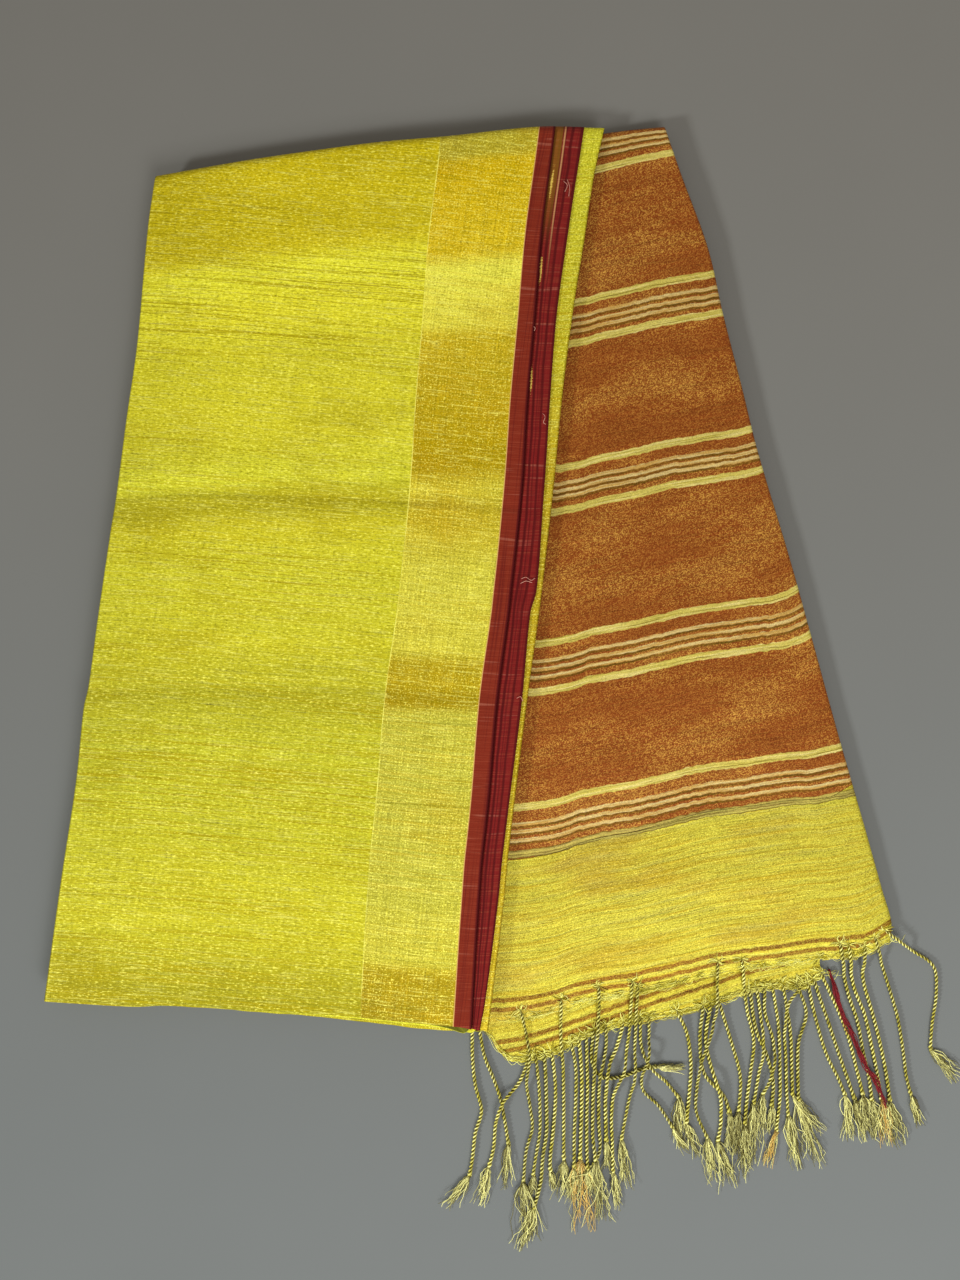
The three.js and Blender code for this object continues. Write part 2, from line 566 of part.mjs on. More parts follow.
const hiddenFolds = piece('hidden_folds', pileGeometry(pileRows.map(pileLoop)), INNER_GOLD, 0.6, 0.3);

// ---------- the pallu ----------
const palluEndY = through(PALLU_END, 'x', 'y');
const palluTopY = through(PALLU_TOP, 'x', 'y');
const palluFoldX = through(PALLU_FOLD_EDGE, 'y', 'x');
const palluStartY = palluEndY(first(RIGHT_EDGE).x - TUCK);
const palluCrownY = first(PALLU_TOP).y;
const palluPatch = coonsPatch(
  edgeUp(rightX, palluStartY, palluCrownY, TUCK),
  edgeUp(palluFoldX, first(PALLU_FOLD_EDGE).y, last(PALLU_FOLD_EDGE).y),
  edgeAcross(palluEndY, rightX(palluStartY) - TUCK, last(PALLU_END).x),
  edgeAcross(palluTopY, rightX(palluCrownY) - TUCK, last(PALLU_TOP).x),
);
const palluWidth = (v) => distance(palluPatch(0, v), palluPatch(1, v));
const palluLength = (u) => distance(palluPatch(u, 0), palluPatch(u, 1));
const palluInner = through(PALLU_RISE, 'from', 'inner');
const palluOuter = through(PALLU_RISE, 'from', 'outer');

/** Height of the pallu's top sheet at a place of its patch. */
const palluTop = (u, v) => mix(palluInner(v * palluLength(u)), palluOuter(v * palluLength(u)), u);

/** A point of the pallu by distances from its tucked edge and its end; `z` turns its top into a height. */
function palluPoint(a, b, z) {
  let u = 0.5;
  let v = b(u) / palluLength(u);
  for (let pass = 0; pass < 4; pass += 1) {
    u = a(v) / palluWidth(v);
    v = b(u) / palluLength(u);
  }
  return [...palluPatch(u, v), z(palluTop(u, v))];
}

const PALLU_FOLD_RADIUS = 3.6;
const PALLU_TOP_RADIUS = 5;

const ACROSS_PALLU = [0, 0.06, 0.13, 0.21, 0.3, 0.4, 0.5, 0.6, 0.7, 0.79, 0.88, 0.95, 1];

/** A stretch of the pallu's top sheet between two distances from its end. */
function palluSheet(start, end, rows, endsAtTop) {
  const side = foldStations(PALLU_FOLD_RADIUS, PALLU_FOLD_DROP, PALLU_CLOTH).reverse();
  const over = endsAtTop ? foldStations(PALLU_TOP_RADIUS, PALLU_FOLD_DROP, PALLU_CLOTH).reverse() : [];
  const columns = [...ACROSS_PALLU.map((share) => ({ share, outerDrop: 0, innerDrop: 0 })), ...side];
  const lines = [...rows.map((share) => ({ share, outerDrop: 0, innerDrop: 0 })), ...over];
  const grid = (face, drop, below) => columns.map((column) => lines.map((line) => palluPoint(
    (v) => (column.share === undefined
      ? palluWidth(v) - column[face]
      : mix(0, palluWidth(v) - PALLU_FOLD_RADIUS, column.share)),
    (u) => (line.share === undefined
      ? palluLength(u) - line[face]
      : mix(start, endsAtTop ? palluLength(u) - PALLU_TOP_RADIUS : end, line.share)),
    (top) => top - below - Math.min(PALLU_FOLD_DROP - below, Math.hypot(column[drop], line[drop])),
  )));
  return slabGeometry(grid('outer', 'outerDrop', 0), grid('inner', 'innerDrop', PALLU_CLOTH));
}

const palluField = piece('pallu_field', palluSheet(
  END_BAND + SEAM, null, [0, 0.08, 0.18, 0.3, 0.42, 0.52, 0.61, 0.7, 0.77, 0.82, 0.86, 0.91, 0.95, 1], true,
), RUST, 0.5, 0.35);
const palluEndBand = piece('pallu_end_band', palluSheet(
  0, END_BAND, [0, 0.07, 0.15, 0.3, 0.5, 0.75, 1], false,
), TISSUE_GOLD, 0.42, 0.45);

/** The pallu's hidden layers: a slab under its top sheet, its fold edge cut back between two layers. */
function palluLayers() {
  const lid = PALLU_CLOTH + SEAM + 0.1;
  const shares = ACROSS_PALLU.filter((_, k) => k % 2 === 0);
  const rows = [0, 0.03, 0.08, 0.16, 0.25, 0.34, 0.43, 0.52, 0.61, 0.69, 0.76, 0.82, 0.86, 0.9, 0.95, 1];
  const at = (share, row, side, over, z) => palluPoint(
    (v) => mix(0.5, palluWidth(v) - side, share),
    (u) => mix(PALLU_LAYERS_START, palluLength(u) - over, row),
    z,
  );
  const grid = (side, over, z) => shares.map((share) => rows.map((row) => at(share, row, side, over, z)));
  const ring = (side, over, z) => {
    const whole = grid(side, over, z).flat();
    return borderOf(shares.length, rows.length).map((k) => whole[k]);
  };
  const lip = PALLU_FOLD_DROP + SEAM;   // where the top sheet's folded edge ends
  return slabGeometry(
    grid(3.9, 5.3, (top) => top - lid),
    grid(1.2, 1.2, () => 0),
    [
      ring(2.2, 2.4, (top) => top - lid - 0.9),
      ring(1.8, 1.9, (top) => top - lip - 0.1),
      ring(0.4, 0.4, (top) => top - lip - 0.4),
      ring(0.4, 0.4, (top) => (top - lip) * 0.62),
      ring(1.4, 1.4, (top) => (top - lip) * 0.5),
      ring(0.4, 0.4, (top) => (top - lip) * 0.38),
    ],
  );
}
const palluFolds = piece('pallu_folds', palluLayers(), INNER_GOLD, 0.6, 0.3);

// ---------- the end of the pallu's lower sheet, which shows past the upper one ----------
const lowerEndY = through(LOWER_END, 'x', 'y');
const LOWER_SHEET_START = 2.5;
const LOWER_SHEET_STOP = 227;
const LOWER_TUCK = 8;             // how far it reaches in under the upper sheet

const lowerColumns = Array.from({ length: 19 }, (_, i) => mix(LOWER_SHEET_START, LOWER_SHEET_STOP, i / 18));
const lowerSheetGrid = (z) => lowerColumns.map((x) => [0, 0.5, 1].map((t) => (
  [x, mix(lowerEndY(x), palluEndY(x) + LOWER_TUCK, t), z])));
const lowerSheet = piece('pallu_lower_end', slabGeometry(lowerSheetGrid(LOWER_SHEET), lowerSheetGrid(0)),
  TISSUE_GOLD, 0.45, 0.4);

// ---------- the fringe ----------
const STRAND_BASE = FLOOR_CLEARANCE + STRAND_RADIUS / 2;   // centre of a cord that lies on the surface
const CORD_HEIGHT = STRAND_RADIUS * 1.5;
const CORD_PITCH = CORD_HEIGHT + 0.3;                      // centre to centre where one cord lies on another
const CORD_REACH = STRAND_RADIUS * Math.sqrt(3) + 0.3;     // closer than this, two cords meet
const OVER_LOWER_SHEET = LOWER_SHEET + 0.35 + STRAND_RADIUS / 2;
const FINE_STEP = STRAND_STEP / FINE_PER_STEP;
const PAST_SIDE = 4;       // a cord clears the lower sheet this far past its side
const PAST_END = 2.5;      // and this far past its heading
const ROOT_ZONE = 7;       // the cords stay together this far from their heading
const STEPS_HELD = 4;      // a cord stays up this many fine steps past a crossing
const STEPS_FALLING = 5;   // and comes down over this many

/** Points along a smooth route, at even steps. */
function routePoints(start, bends, step) {
  const curve = new THREE.CatmullRomCurve3([start, ...bends].map(([x, y]) => new THREE.Vector3(x, y, 0)),
    false, 'centripetal');
  curve.arcLengthDivisions = 200;
  const count = Math.round(curve.getLength() / step);
  return curve.getSpacedPoints(count).map((p) => [p.x, p.y]);
}

function segmentDistance(p, a, b) {
  const along = [b[0] - a[0], b[1] - a[1]];
  const square = along[0] ** 2 + along[1] ** 2;
  const t = clamp(((p[0] - a[0]) * along[0] + (p[1] - a[1]) * along[1]) / square, 0, 1);
  return { gap: Math.hypot(p[0] - a[0] - t * along[0], p[1] - a[1] - t * along[1]), t };
}

/**
 * Heights of a cord that is laid on what lies there already: at each fine point it clears the cords within
 * reach, and a long low hump leads up to each crossing.
 */
function layOver(points, laid, rootHeight, overSheet) {
  const need = points.map((p) => {
    let height = STRAND_BASE;
    const besideSheet = p[0] < LOWER_SHEET_STOP + PAST_SIDE;
    const aboveHeading = p[1] > lowerEndY(p[0]) - STRIP_WIDTH - PAST_END;
    if (overSheet && besideSheet && aboveHeading) height = OVER_LOWER_SHEET;
    laid.forEach((other) => {
      for (let k = 0; k < other.length - 1; k += 1) {
        const near = segmentDistance(p, other[k], other[k + 1]);
        if (near.gap < CORD_REACH) {
          height = Math.max(height, mix(other[k][2], other[k + 1][2], near.t) + CORD_PITCH);
        }
      }
    });
    return height;
  });
  const rooted = Math.ceil(ROOT_ZONE / FINE_STEP);
  const spread = STEPS_HELD + STEPS_FALLING;
  return need.map((_, k) => {
    let height = STRAND_BASE;
    for (let other = Math.max(0, k - spread); other <= Math.min(need.length - 1, k + spread); other += 1) {
      const away = Math.max(0, Math.abs(other - k) - STEPS_HELD) / STEPS_FALLING;
      const share = (1 + Math.cos(Math.PI * Math.min(1, away))) / 2;
      height = Math.max(height, mix(STRAND_BASE, need[other], share));
    }
    return mix(rootHeight, height, clamp((k - 1) / rooted, 0, 1));
  });
}

/** A three-sided cord through 3-D points, drawn in to a blunt tip. */
function strandGeometry(points, radius) {
  const loops = points.map((p, k) => {
    const before = points[Math.max(0, k - 1)];
    const after = points[Math.min(points.length - 1, k + 1)];
    const run = Math.hypot(after[0] - before[0], after[1] - before[1]);
    const side = [-(after[1] - before[1]) / run, (after[0] - before[0]) / run];
    const r = k === points.length - 1 ? radius * 0.6 : radius;
    return [90, 210, 330].map((degrees) => {
      const angle = THREE.MathUtils.degToRad(degrees);
      const sideways = r * Math.cos(angle);
      return [p[0] + side[0] * sideways, p[1] + side[1] * sideways, p[2] + r * Math.sin(angle)];
    });
  });
  const corners = loops.flat();
  const faces = [[0, 2, 1]];
  for (let l = 0; l < loops.length - 1; l += 1) {
    for (let k = 0; k < 3; k += 1) {
      const a = l * 3 + k;
      const b = l * 3 + ((k + 1) % 3);
      faces.push([a, b + 3, a + 3], [a, b, b + 3]);
    }
  }
  const end = corners.length - 3;
  faces.push([end, end + 1, end + 2]);
  return meshGeometry(corners, faces);
}

/** The heading strip along the points of an end, parted from the cloth by a seam gap. */
function headingStrip(edge, bottom, top) {
  const grid = (z) => edge.map(([x, y]) => [[x, y - SEAM * 1.5 - STRIP_WIDTH, z], [x, y - SEAM * 1.5, z]]);
  return slabGeometry(grid(top), grid(bottom));
}

function solidOf(geometry) {
  const bare = geometry.clone();
  bare.deleteAttribute('normal');
  const merged = mergeVertices(bare, 1e-4);
  return new wasm.Manifold(new wasm.Mesh({
    numProp: 3,
    vertProperties: new Float32Array(merged.attributes.position.array),
    triVerts: new Uint32Array(merged.index.array),
  }));
}

/** One closed geometry from a backing and the cords rooted in it. */
function fused(geometries) {
  const joined = geometries.map(solidOf).reduce((sum, solid) => sum.add(solid));
  const mesh = joined.getMesh();
  const geometry = new THREE.BufferGeometry();
  geometry.setAttribute('position', new THREE.Float32BufferAttribute(mesh.vertProperties, 3));
  geometry.setIndex([...mesh.triVerts]);
  geometry.computeVertexNormals();
  return geometry;
}

const laidCords = [];

/** Lays one cord on those before it and returns its solid; too short a last piece joins the one before. */
function layCord(start, bends, rootHeight, overSheet, radius) {
  const fine = routePoints(start, bends, FINE_STEP);
  const heights = layOver(fine, laidCords, rootHeight, overSheet);
  const line = fine.map(([x, y], k) => [x, y, heights[k]]);
  laidCords.push(line);
  const coarse = line.filter((_, k) => k % FINE_PER_STEP === 0 || k === line.length - 1);
  if (line.length % FINE_PER_STEP === 2) coarse.splice(coarse.length - 2, 1);
  return strandGeometry(coarse, radius);
}

const LOWER_STRIP_PAST = { left: [-9, -4], right: 229 };   // the heading runs on past the sheet both ways
const lowerStripColumns = [...LOWER_STRIP_PAST.left, ...lowerColumns, LOWER_STRIP_PAST.right];
const lowerStrip = headingStrip(lowerStripColumns.map((x) => [x, lowerEndY(x)]), 0, LOWER_SHEET);
const lowerCords = LOWER_FRINGE.map(({ root, bends }) => layCord(
  [root, lowerEndY(root) - SEAM - STRIP_WIDTH / 2], bends, STRAND_BASE, false, STRAND_RADIUS));
const fringeLower = piece('fringe_lower', fused([lowerStrip, ...lowerCords]), PLIED_GOLD, 0.6, 0.2);

const UPPER_STRIP_TOP = first(PALLU_RISE).outer;
const upperEdge = ACROSS_PALLU.slice(1).map((share) => palluPoint(
  (v) => share * (palluWidth(v) - PALLU_FOLD_RADIUS), () => 0, (top) => top));
const upperStrip = headingStrip(upperEdge, UPPER_STRIP_TOP - PALLU_CLOTH, UPPER_STRIP_TOP);
const upperCords = UPPER_FRINGE.map(({ root, bends }) => layCord(
  [root, palluEndY(root) - SEAM - STRIP_WIDTH / 2], bends, OVER_LOWER_SHEET + 0.1, true, STRAND_RADIUS));
const fringeUpper = piece('fringe_upper', fused([upperStrip, ...upperCords]), PLIED_GOLD, 0.6, 0.2);

const knotGrid = (z) => [WARP_KNOT.left, WARP_KNOT.right].map((x) => (
  [WARP_KNOT.low, WARP_KNOT.high].map((y) => [x, y, z])));
const warpKnot = slabGeometry(knotGrid(WARP_KNOT.top), knotGrid(WARP_KNOT.bottom));
const warpCords = LOOSE_WARP.map(({ start, bends }) => (
  layCord(start, bends, STRAND_BASE, false, WARP_RADIUS)));
const looseWarp = piece('loose_warp', fused([warpKnot, ...warpCords]), MAROON, 0.85, 0);

// ---------- the saree, its origin under the middle of its outline ----------
const saree = new THREE.Group();
saree.add(
  hiddenFolds, bodyField, goldBorder, selvedgeTop, selvedgeUnder, centreFold,
  palluFolds, palluField, palluEndBand, lowerSheet, fringeLower, fringeUpper, looseWarp,
);
const extent = new THREE.Box3().setFromObject(saree);
const centre = extent.getCenter(new THREE.Vector3());
saree.position.set(-centre.x, -centre.y, -extent.min.z);

export default saree;
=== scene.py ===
"""A folded tissue saree, dressed: its woven sheets, folds and twisted fringe, and the studio it lies in.

Lengths in the tables are millimetres on the same plan as the solids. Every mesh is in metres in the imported
frame.
"""

from __future__ import annotations

import logging
import math
from dataclasses import dataclass, field
from enum import Enum
from functools import reduce
from typing import Callable, Sequence

import bpy
import numpy as np
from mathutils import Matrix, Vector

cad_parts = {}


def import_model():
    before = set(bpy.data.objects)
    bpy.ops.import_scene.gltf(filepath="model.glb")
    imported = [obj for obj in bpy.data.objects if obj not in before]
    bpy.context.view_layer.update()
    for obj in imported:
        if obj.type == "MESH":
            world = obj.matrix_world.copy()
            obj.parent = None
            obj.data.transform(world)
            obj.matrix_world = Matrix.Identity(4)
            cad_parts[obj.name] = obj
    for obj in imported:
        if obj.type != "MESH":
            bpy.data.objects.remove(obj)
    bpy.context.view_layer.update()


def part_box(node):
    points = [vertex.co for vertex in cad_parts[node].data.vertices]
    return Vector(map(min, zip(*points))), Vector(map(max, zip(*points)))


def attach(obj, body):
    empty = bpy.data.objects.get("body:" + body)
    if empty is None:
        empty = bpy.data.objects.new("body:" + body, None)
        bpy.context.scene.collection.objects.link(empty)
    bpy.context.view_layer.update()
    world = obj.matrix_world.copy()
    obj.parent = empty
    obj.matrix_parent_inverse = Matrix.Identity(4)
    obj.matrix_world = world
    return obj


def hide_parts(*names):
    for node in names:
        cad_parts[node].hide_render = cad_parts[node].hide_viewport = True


LOG = logging.getLogger("saree")
Array = np.ndarray
Curve = Callable[[Array], Array]
Relief = Callable[[Array, Array], Array]
Point = tuple[float, float]
Colour = tuple[int, int, int]
Profile = tuple[Point, ...]
Waves = tuple[tuple[int, float, float, float], ...]
Piece = bpy.types.Object
Material = bpy.types.Material
Socket = bpy.types.NodeSocket

MM_PER_METRE = 1000
TINY = 1e-9
GOLDEN = 0.618  # steps by this share of 1 spread numbers evenly


# -------- small mathematics

def blend(a: Array | float, b: Array | float, t: Array | float) -> Array:
    """Returns a where t is 0, b where t is 1, and the straight mix between."""
    return a + (b - a) * t


def smooth_curve(rows: Sequence[Point]) -> Curve:
    """Makes the smooth curve through a table: cubic pieces whose slopes are those of the neighbouring rows.

    Args:
        rows: (where, value) pairs, where rising.

    Returns:
        A function of an array of places.
    """
    at, value = (np.array(column, float) for column in zip(*rows))
    before = np.maximum(np.arange(len(at)) - 1, 0)
    after = np.minimum(np.arange(len(at)) + 1, len(at) - 1)
    slope = (value[after] - value[before]) / (at[after] - at[before])

    def curve(where: Array) -> Array:
        """Evaluates the cubic piece that each place falls in.

        Args:
            where: places, held inside the table's range.

        Returns:
            The curve's values.
        """
        x = np.clip(np.asarray(where, float), at[0], at[-1])
        i = np.clip(np.searchsorted(at, x, side="right") - 1, 0, len(at) - 2)
        span = at[i + 1] - at[i]
        t = (x - at[i]) / span
        return ((2 * t**3 - 3 * t**2 + 1) * value[i] + (t**3 - 2 * t**2 + t) * span * slope[i]
                + (3 * t**2 - 2 * t**3) * value[i + 1] + (t**3 - t**2) * span * slope[i + 1])

    return curve


def ripple(seed: int, where: Array, lengths: Sequence[float]) -> Array:
    """Adds sine waves of the given lengths with seeded phases, for a smooth unevenness from -1 to 1.

    Args:
        seed: which unevenness.
        where: places along a line.
        lengths: the waves' lengths, in the same units.

    Returns:
        The mean of the waves at each place.
    """
    phases = np.random.default_rng(seed).uniform(0, 2 * math.pi, len(lengths))
    waves = [np.sin(2 * math.pi * np.asarray(where) / length + phase)
             for length, phase in zip(lengths, phases)]
    return sum(waves) / len(lengths)


def uneven(seed: int, x: Array, y: Array, length: float) -> Array:
    """A smooth unevenness over a plane: crossing sine waves in seeded directions, from about -1 to 1.

    Args:
        seed: which unevenness.
        x: places across.
        y: places along.
        length: the waves' mean length, in the same units.

    Returns:
        The sum of the waves at each place, over the height that they seldom pass together.
    """
    waves, together = 6, 3.2
    rng = np.random.default_rng(seed)
    total = np.zeros(np.broadcast(x, y).shape)
    for angle, phase, stretch in zip(rng.uniform(0, math.pi, waves), rng.uniform(0, 2 * math.pi, waves),
                                     rng.uniform(0.6, 1.6, waves)):
        run = x * math.cos(angle) + y * math.sin(angle)
        total = total + np.sin(2 * math.pi * run / (length * stretch) + phase)
    return total / together


def ends_of(rows: Profile) -> Point:
    """The first and the last place of a table."""
    return rows[0][0], rows[-1][0]


def slack(rows: Waves, x: Array, y: Array) -> Array:
    """Adds unevennesses; a row is a seed, a depth, how much tighter the waves lie along, and their length."""
    return sum(depth * uneven(seed, x, y * tighter, length) for seed, depth, tighter, length in rows)


def travelled(points: Array, power: float = 1.0) -> Array:
    """Distance run at each point of a path, each step first raised to a power."""
    return np.concatenate([[0], np.cumsum(np.linalg.norm(np.diff(points, axis=0), axis=1) ** power)])


def unit_rows(vectors: Array) -> Array:
    """Rows scaled to unit length; a row of zeros stays."""
    return vectors / np.maximum(np.linalg.norm(vectors, axis=-1, keepdims=True), TINY)


def directions(route: Array) -> tuple[Array, Array]:
    """Finds which way a route runs, and which way lies level to its left.

    Args:
        route: points.

    Returns:
        Unit tangents, and unit directions aside.
    """
    tangent = unit_rows(np.gradient(route, axis=0))
    aside = np.zeros_like(tangent)
    aside[:, 0], aside[:, 1] = -tangent[:, 1], tangent[:, 0]
    return tangent, unit_rows(aside)


@dataclass(frozen=True)
class Patch:
    """A plan spanned between four edge curves that share their corners: u runs right, v runs up.

    A point is the mix of the left and right edges, plus the mix of the bottom and top edges, less the mix of
    the corners.
    """

    left: Curve
    right: Curve
    bottom: Curve
    top: Curve

    def at(self, u: Array, v: Array) -> Array:
        """Finds plan points.

        Args:
            u: shares of the way right.
            v: shares of the way up, broadcast with u.

        Returns:
            The points, shape (..., 2).
        """
        u, v = np.broadcast_arrays(np.asarray(u, float), np.asarray(v, float))
        p, q = u[..., None], v[..., None]
        zero, one = np.zeros(()), np.ones(())
        return ((1 - p) * self.left(v) + p * self.right(v) + (1 - q) * self.bottom(u) + q * self.top(u)
                - (1 - p) * (1 - q) * self.left(zero) - p * (1 - q) * self.right(zero)
                - (1 - p) * q * self.left(one) - p * q * self.right(one))

    def width(self, v: Array) -> Array:
        """Distance from the left edge to the right edge."""
        return np.linalg.norm(self.at(np.ones_like(v), v) - self.at(np.zeros_like(v), v), axis=-1)

    def length(self, u: Array) -> Array:
        """Distance from the bottom edge to the top edge."""
        return np.linalg.norm(self.at(u, np.ones_like(u)) - self.at(u, np.zeros_like(u)), axis=-1)

    def place(self, across: Curve, along: Curve, shape: tuple[int, ...]) -> tuple[Array, Array]:
        """Finds u and v from distances, each of which may depend on the other: a few rounds of correction.

        Args:
            across: distance from the left edge as a function of v.
            along: distance from the bottom edge as a function of u.
            shape: shape of the grid.

        Returns:
            The grids of u and v.
        """
        rounds = 4
        u = np.full(shape, 0.5)
        v = along(u) / self.length(u)
        for _ in range(rounds):
            u = across(v) / self.width(v)
            v = along(u) / self.length(u)
        return u, v


# -------- the plan of the folded saree

# Edges of the pack and the pallu from above: rows of (y, x) for side edges, and of (x, y) for the others.
LEFT_EDGE = (
    (-237, -286), (-158, -275), (-92, -265), (-44, -260), (-31, -257), (13, -251), (74, -242), (92, -239),
    (145, -232), (194, -225), (270, -218), (305, -213),
)
RIGHT_EDGE = (
    (-260, 5), (-237, 8), (-171, 16), (-139, 19), (-41, 31), (25, 40), (105, 49), (158, 54), (214, 61),
    (265, 69), (305, 75), (337, 82),
)
BOTTOM_EDGE = (
    (-286, -237), (-226, -241), (-165, -246.5), (-105, -251.5), (-44, -258.5), (-14, -260.5), (5, -260),
)
TOP_EDGE = ((-213, 305), (-153, 315.5), (-105, 322.5), (-66, 327.5), (-20, 331.5), (38, 337.5), (82, 337))
PALLU_FOLD = (
    (-200, 274), (-187, 274), (-167, 268), (-128, 257), (-62, 238), (3, 220), (53, 206), (126, 184),
    (166, 174), (216, 161), (259, 151), (308, 133), (325, 127), (339.5, 122),
)
PALLU_END = (
    (-6, -254.5), (8, -254), (26, -252.5), (46, -249), (60, -244), (78, -240), (104, -236), (133, -229),
    (157, -223), (196, -217.5), (222, -213.5), (255, -210), (268, -203.5), (274, -200),
)
PALLU_TOP = ((77, 336.5), (100, 338.5), (122, 339.5))
LOWER_END = (
    (-12, -257), (-3, -258.5), (5, -263), (12, -274), (21, -281.5), (31, -281.5), (50, -277), (71, -266),
    (92, -259), (113, -254.5), (133, -250.5), (150, -246), (176, -237.5), (193, -233.5), (217, -232.5),
    (229, -225),
)
LOWER_PAIR = (
    (2, -274), (11, -272.4), (32, -268.2), (50, -262.9), (78, -252.8), (99.5, -244.8), (146, -230.1),
    (179, -218.8), (199, -214.1), (229, -206),
)
# Widths of the bands at the pack's right side, by the share along the pack.
CENTRE_FOLD_WIDTH = (
    (0, 6), (0.04, 4.5), (0.15, 4), (0.26, 3.6), (0.37, 3.6), (0.465, 6), (0.49, 3.8), (0.59, 6), (0.7, 8),
    (0.79, 10.5), (0.88, 11.5), (0.95, 11.5), (1, 13.5),
)
UNDER_WIDTH = (
    (0, 5), (0.04, 8.5), (0.15, 13), (0.26, 14), (0.37, 16.5), (0.465, 14.5), (0.49, 17), (0.59, 15),
    (0.7, 15), (0.79, 14.5), (0.88, 17.5), (0.95, 18.5), (1, 19.5),
)
SELVEDGE_WIDTH = (
    (0, 12.5), (0.04, 12), (0.15, 11.5), (0.37, 12), (0.49, 11.5), (0.59, 12), (0.7, 11.5), (0.88, 11),
    (1, 10.5),
)
BORDER_WIDTH = ((0, 59.5), (0.04, 61), (0.26, 61.5), (0.59, 61.5), (0.79, 62.5), (0.88, 63.5), (1, 64.5))
BAND_WIDTHS = {"centre": CENTRE_FOLD_WIDTH, "under": UNDER_WIDTH, "selvedge": SELVEDGE_WIDTH,
               "border": BORDER_WIDTH}
# How far the top sheet's near edge lies back from the pack's, by the share across.
TOP_SHEET_BACK = ((0, 0.2), (0.2, 0.6), (0.27, 3), (0.4, 4.6), (0.6, 6), (0.72, 7.2), (0.93, 7), (1, 2.2))
# Height of the pallu along its two sides, by the distance from its fringed end.
PALLU_RISE_INNER = ((0, 3.9), (16, 5.4), (60, 6.4), (200, 6.5), (400, 6.5), (600, 6.5))
PALLU_RISE_OUTER = ((0, 3.9), (16, 5.5), (60, 6.2), (200, 7.2), (400, 9), (600, 11))
# Creases across the top sheet: places at its left and right edges, a dip at the left one, the valley's depth,
# its reach towards the near and the far end, and ridges beside it, each a height, a place and a reach.
CREASES = (
    (0.613, 0.576, 0.008, 0.75, 2.8, 8.0, ((0.2, 16, 9), (-0.3, -9, 9))),
    (0.379, 0.377, 0.0, 0.5, 6.0, 6.0, ((0.15, 16, 9),)),
)


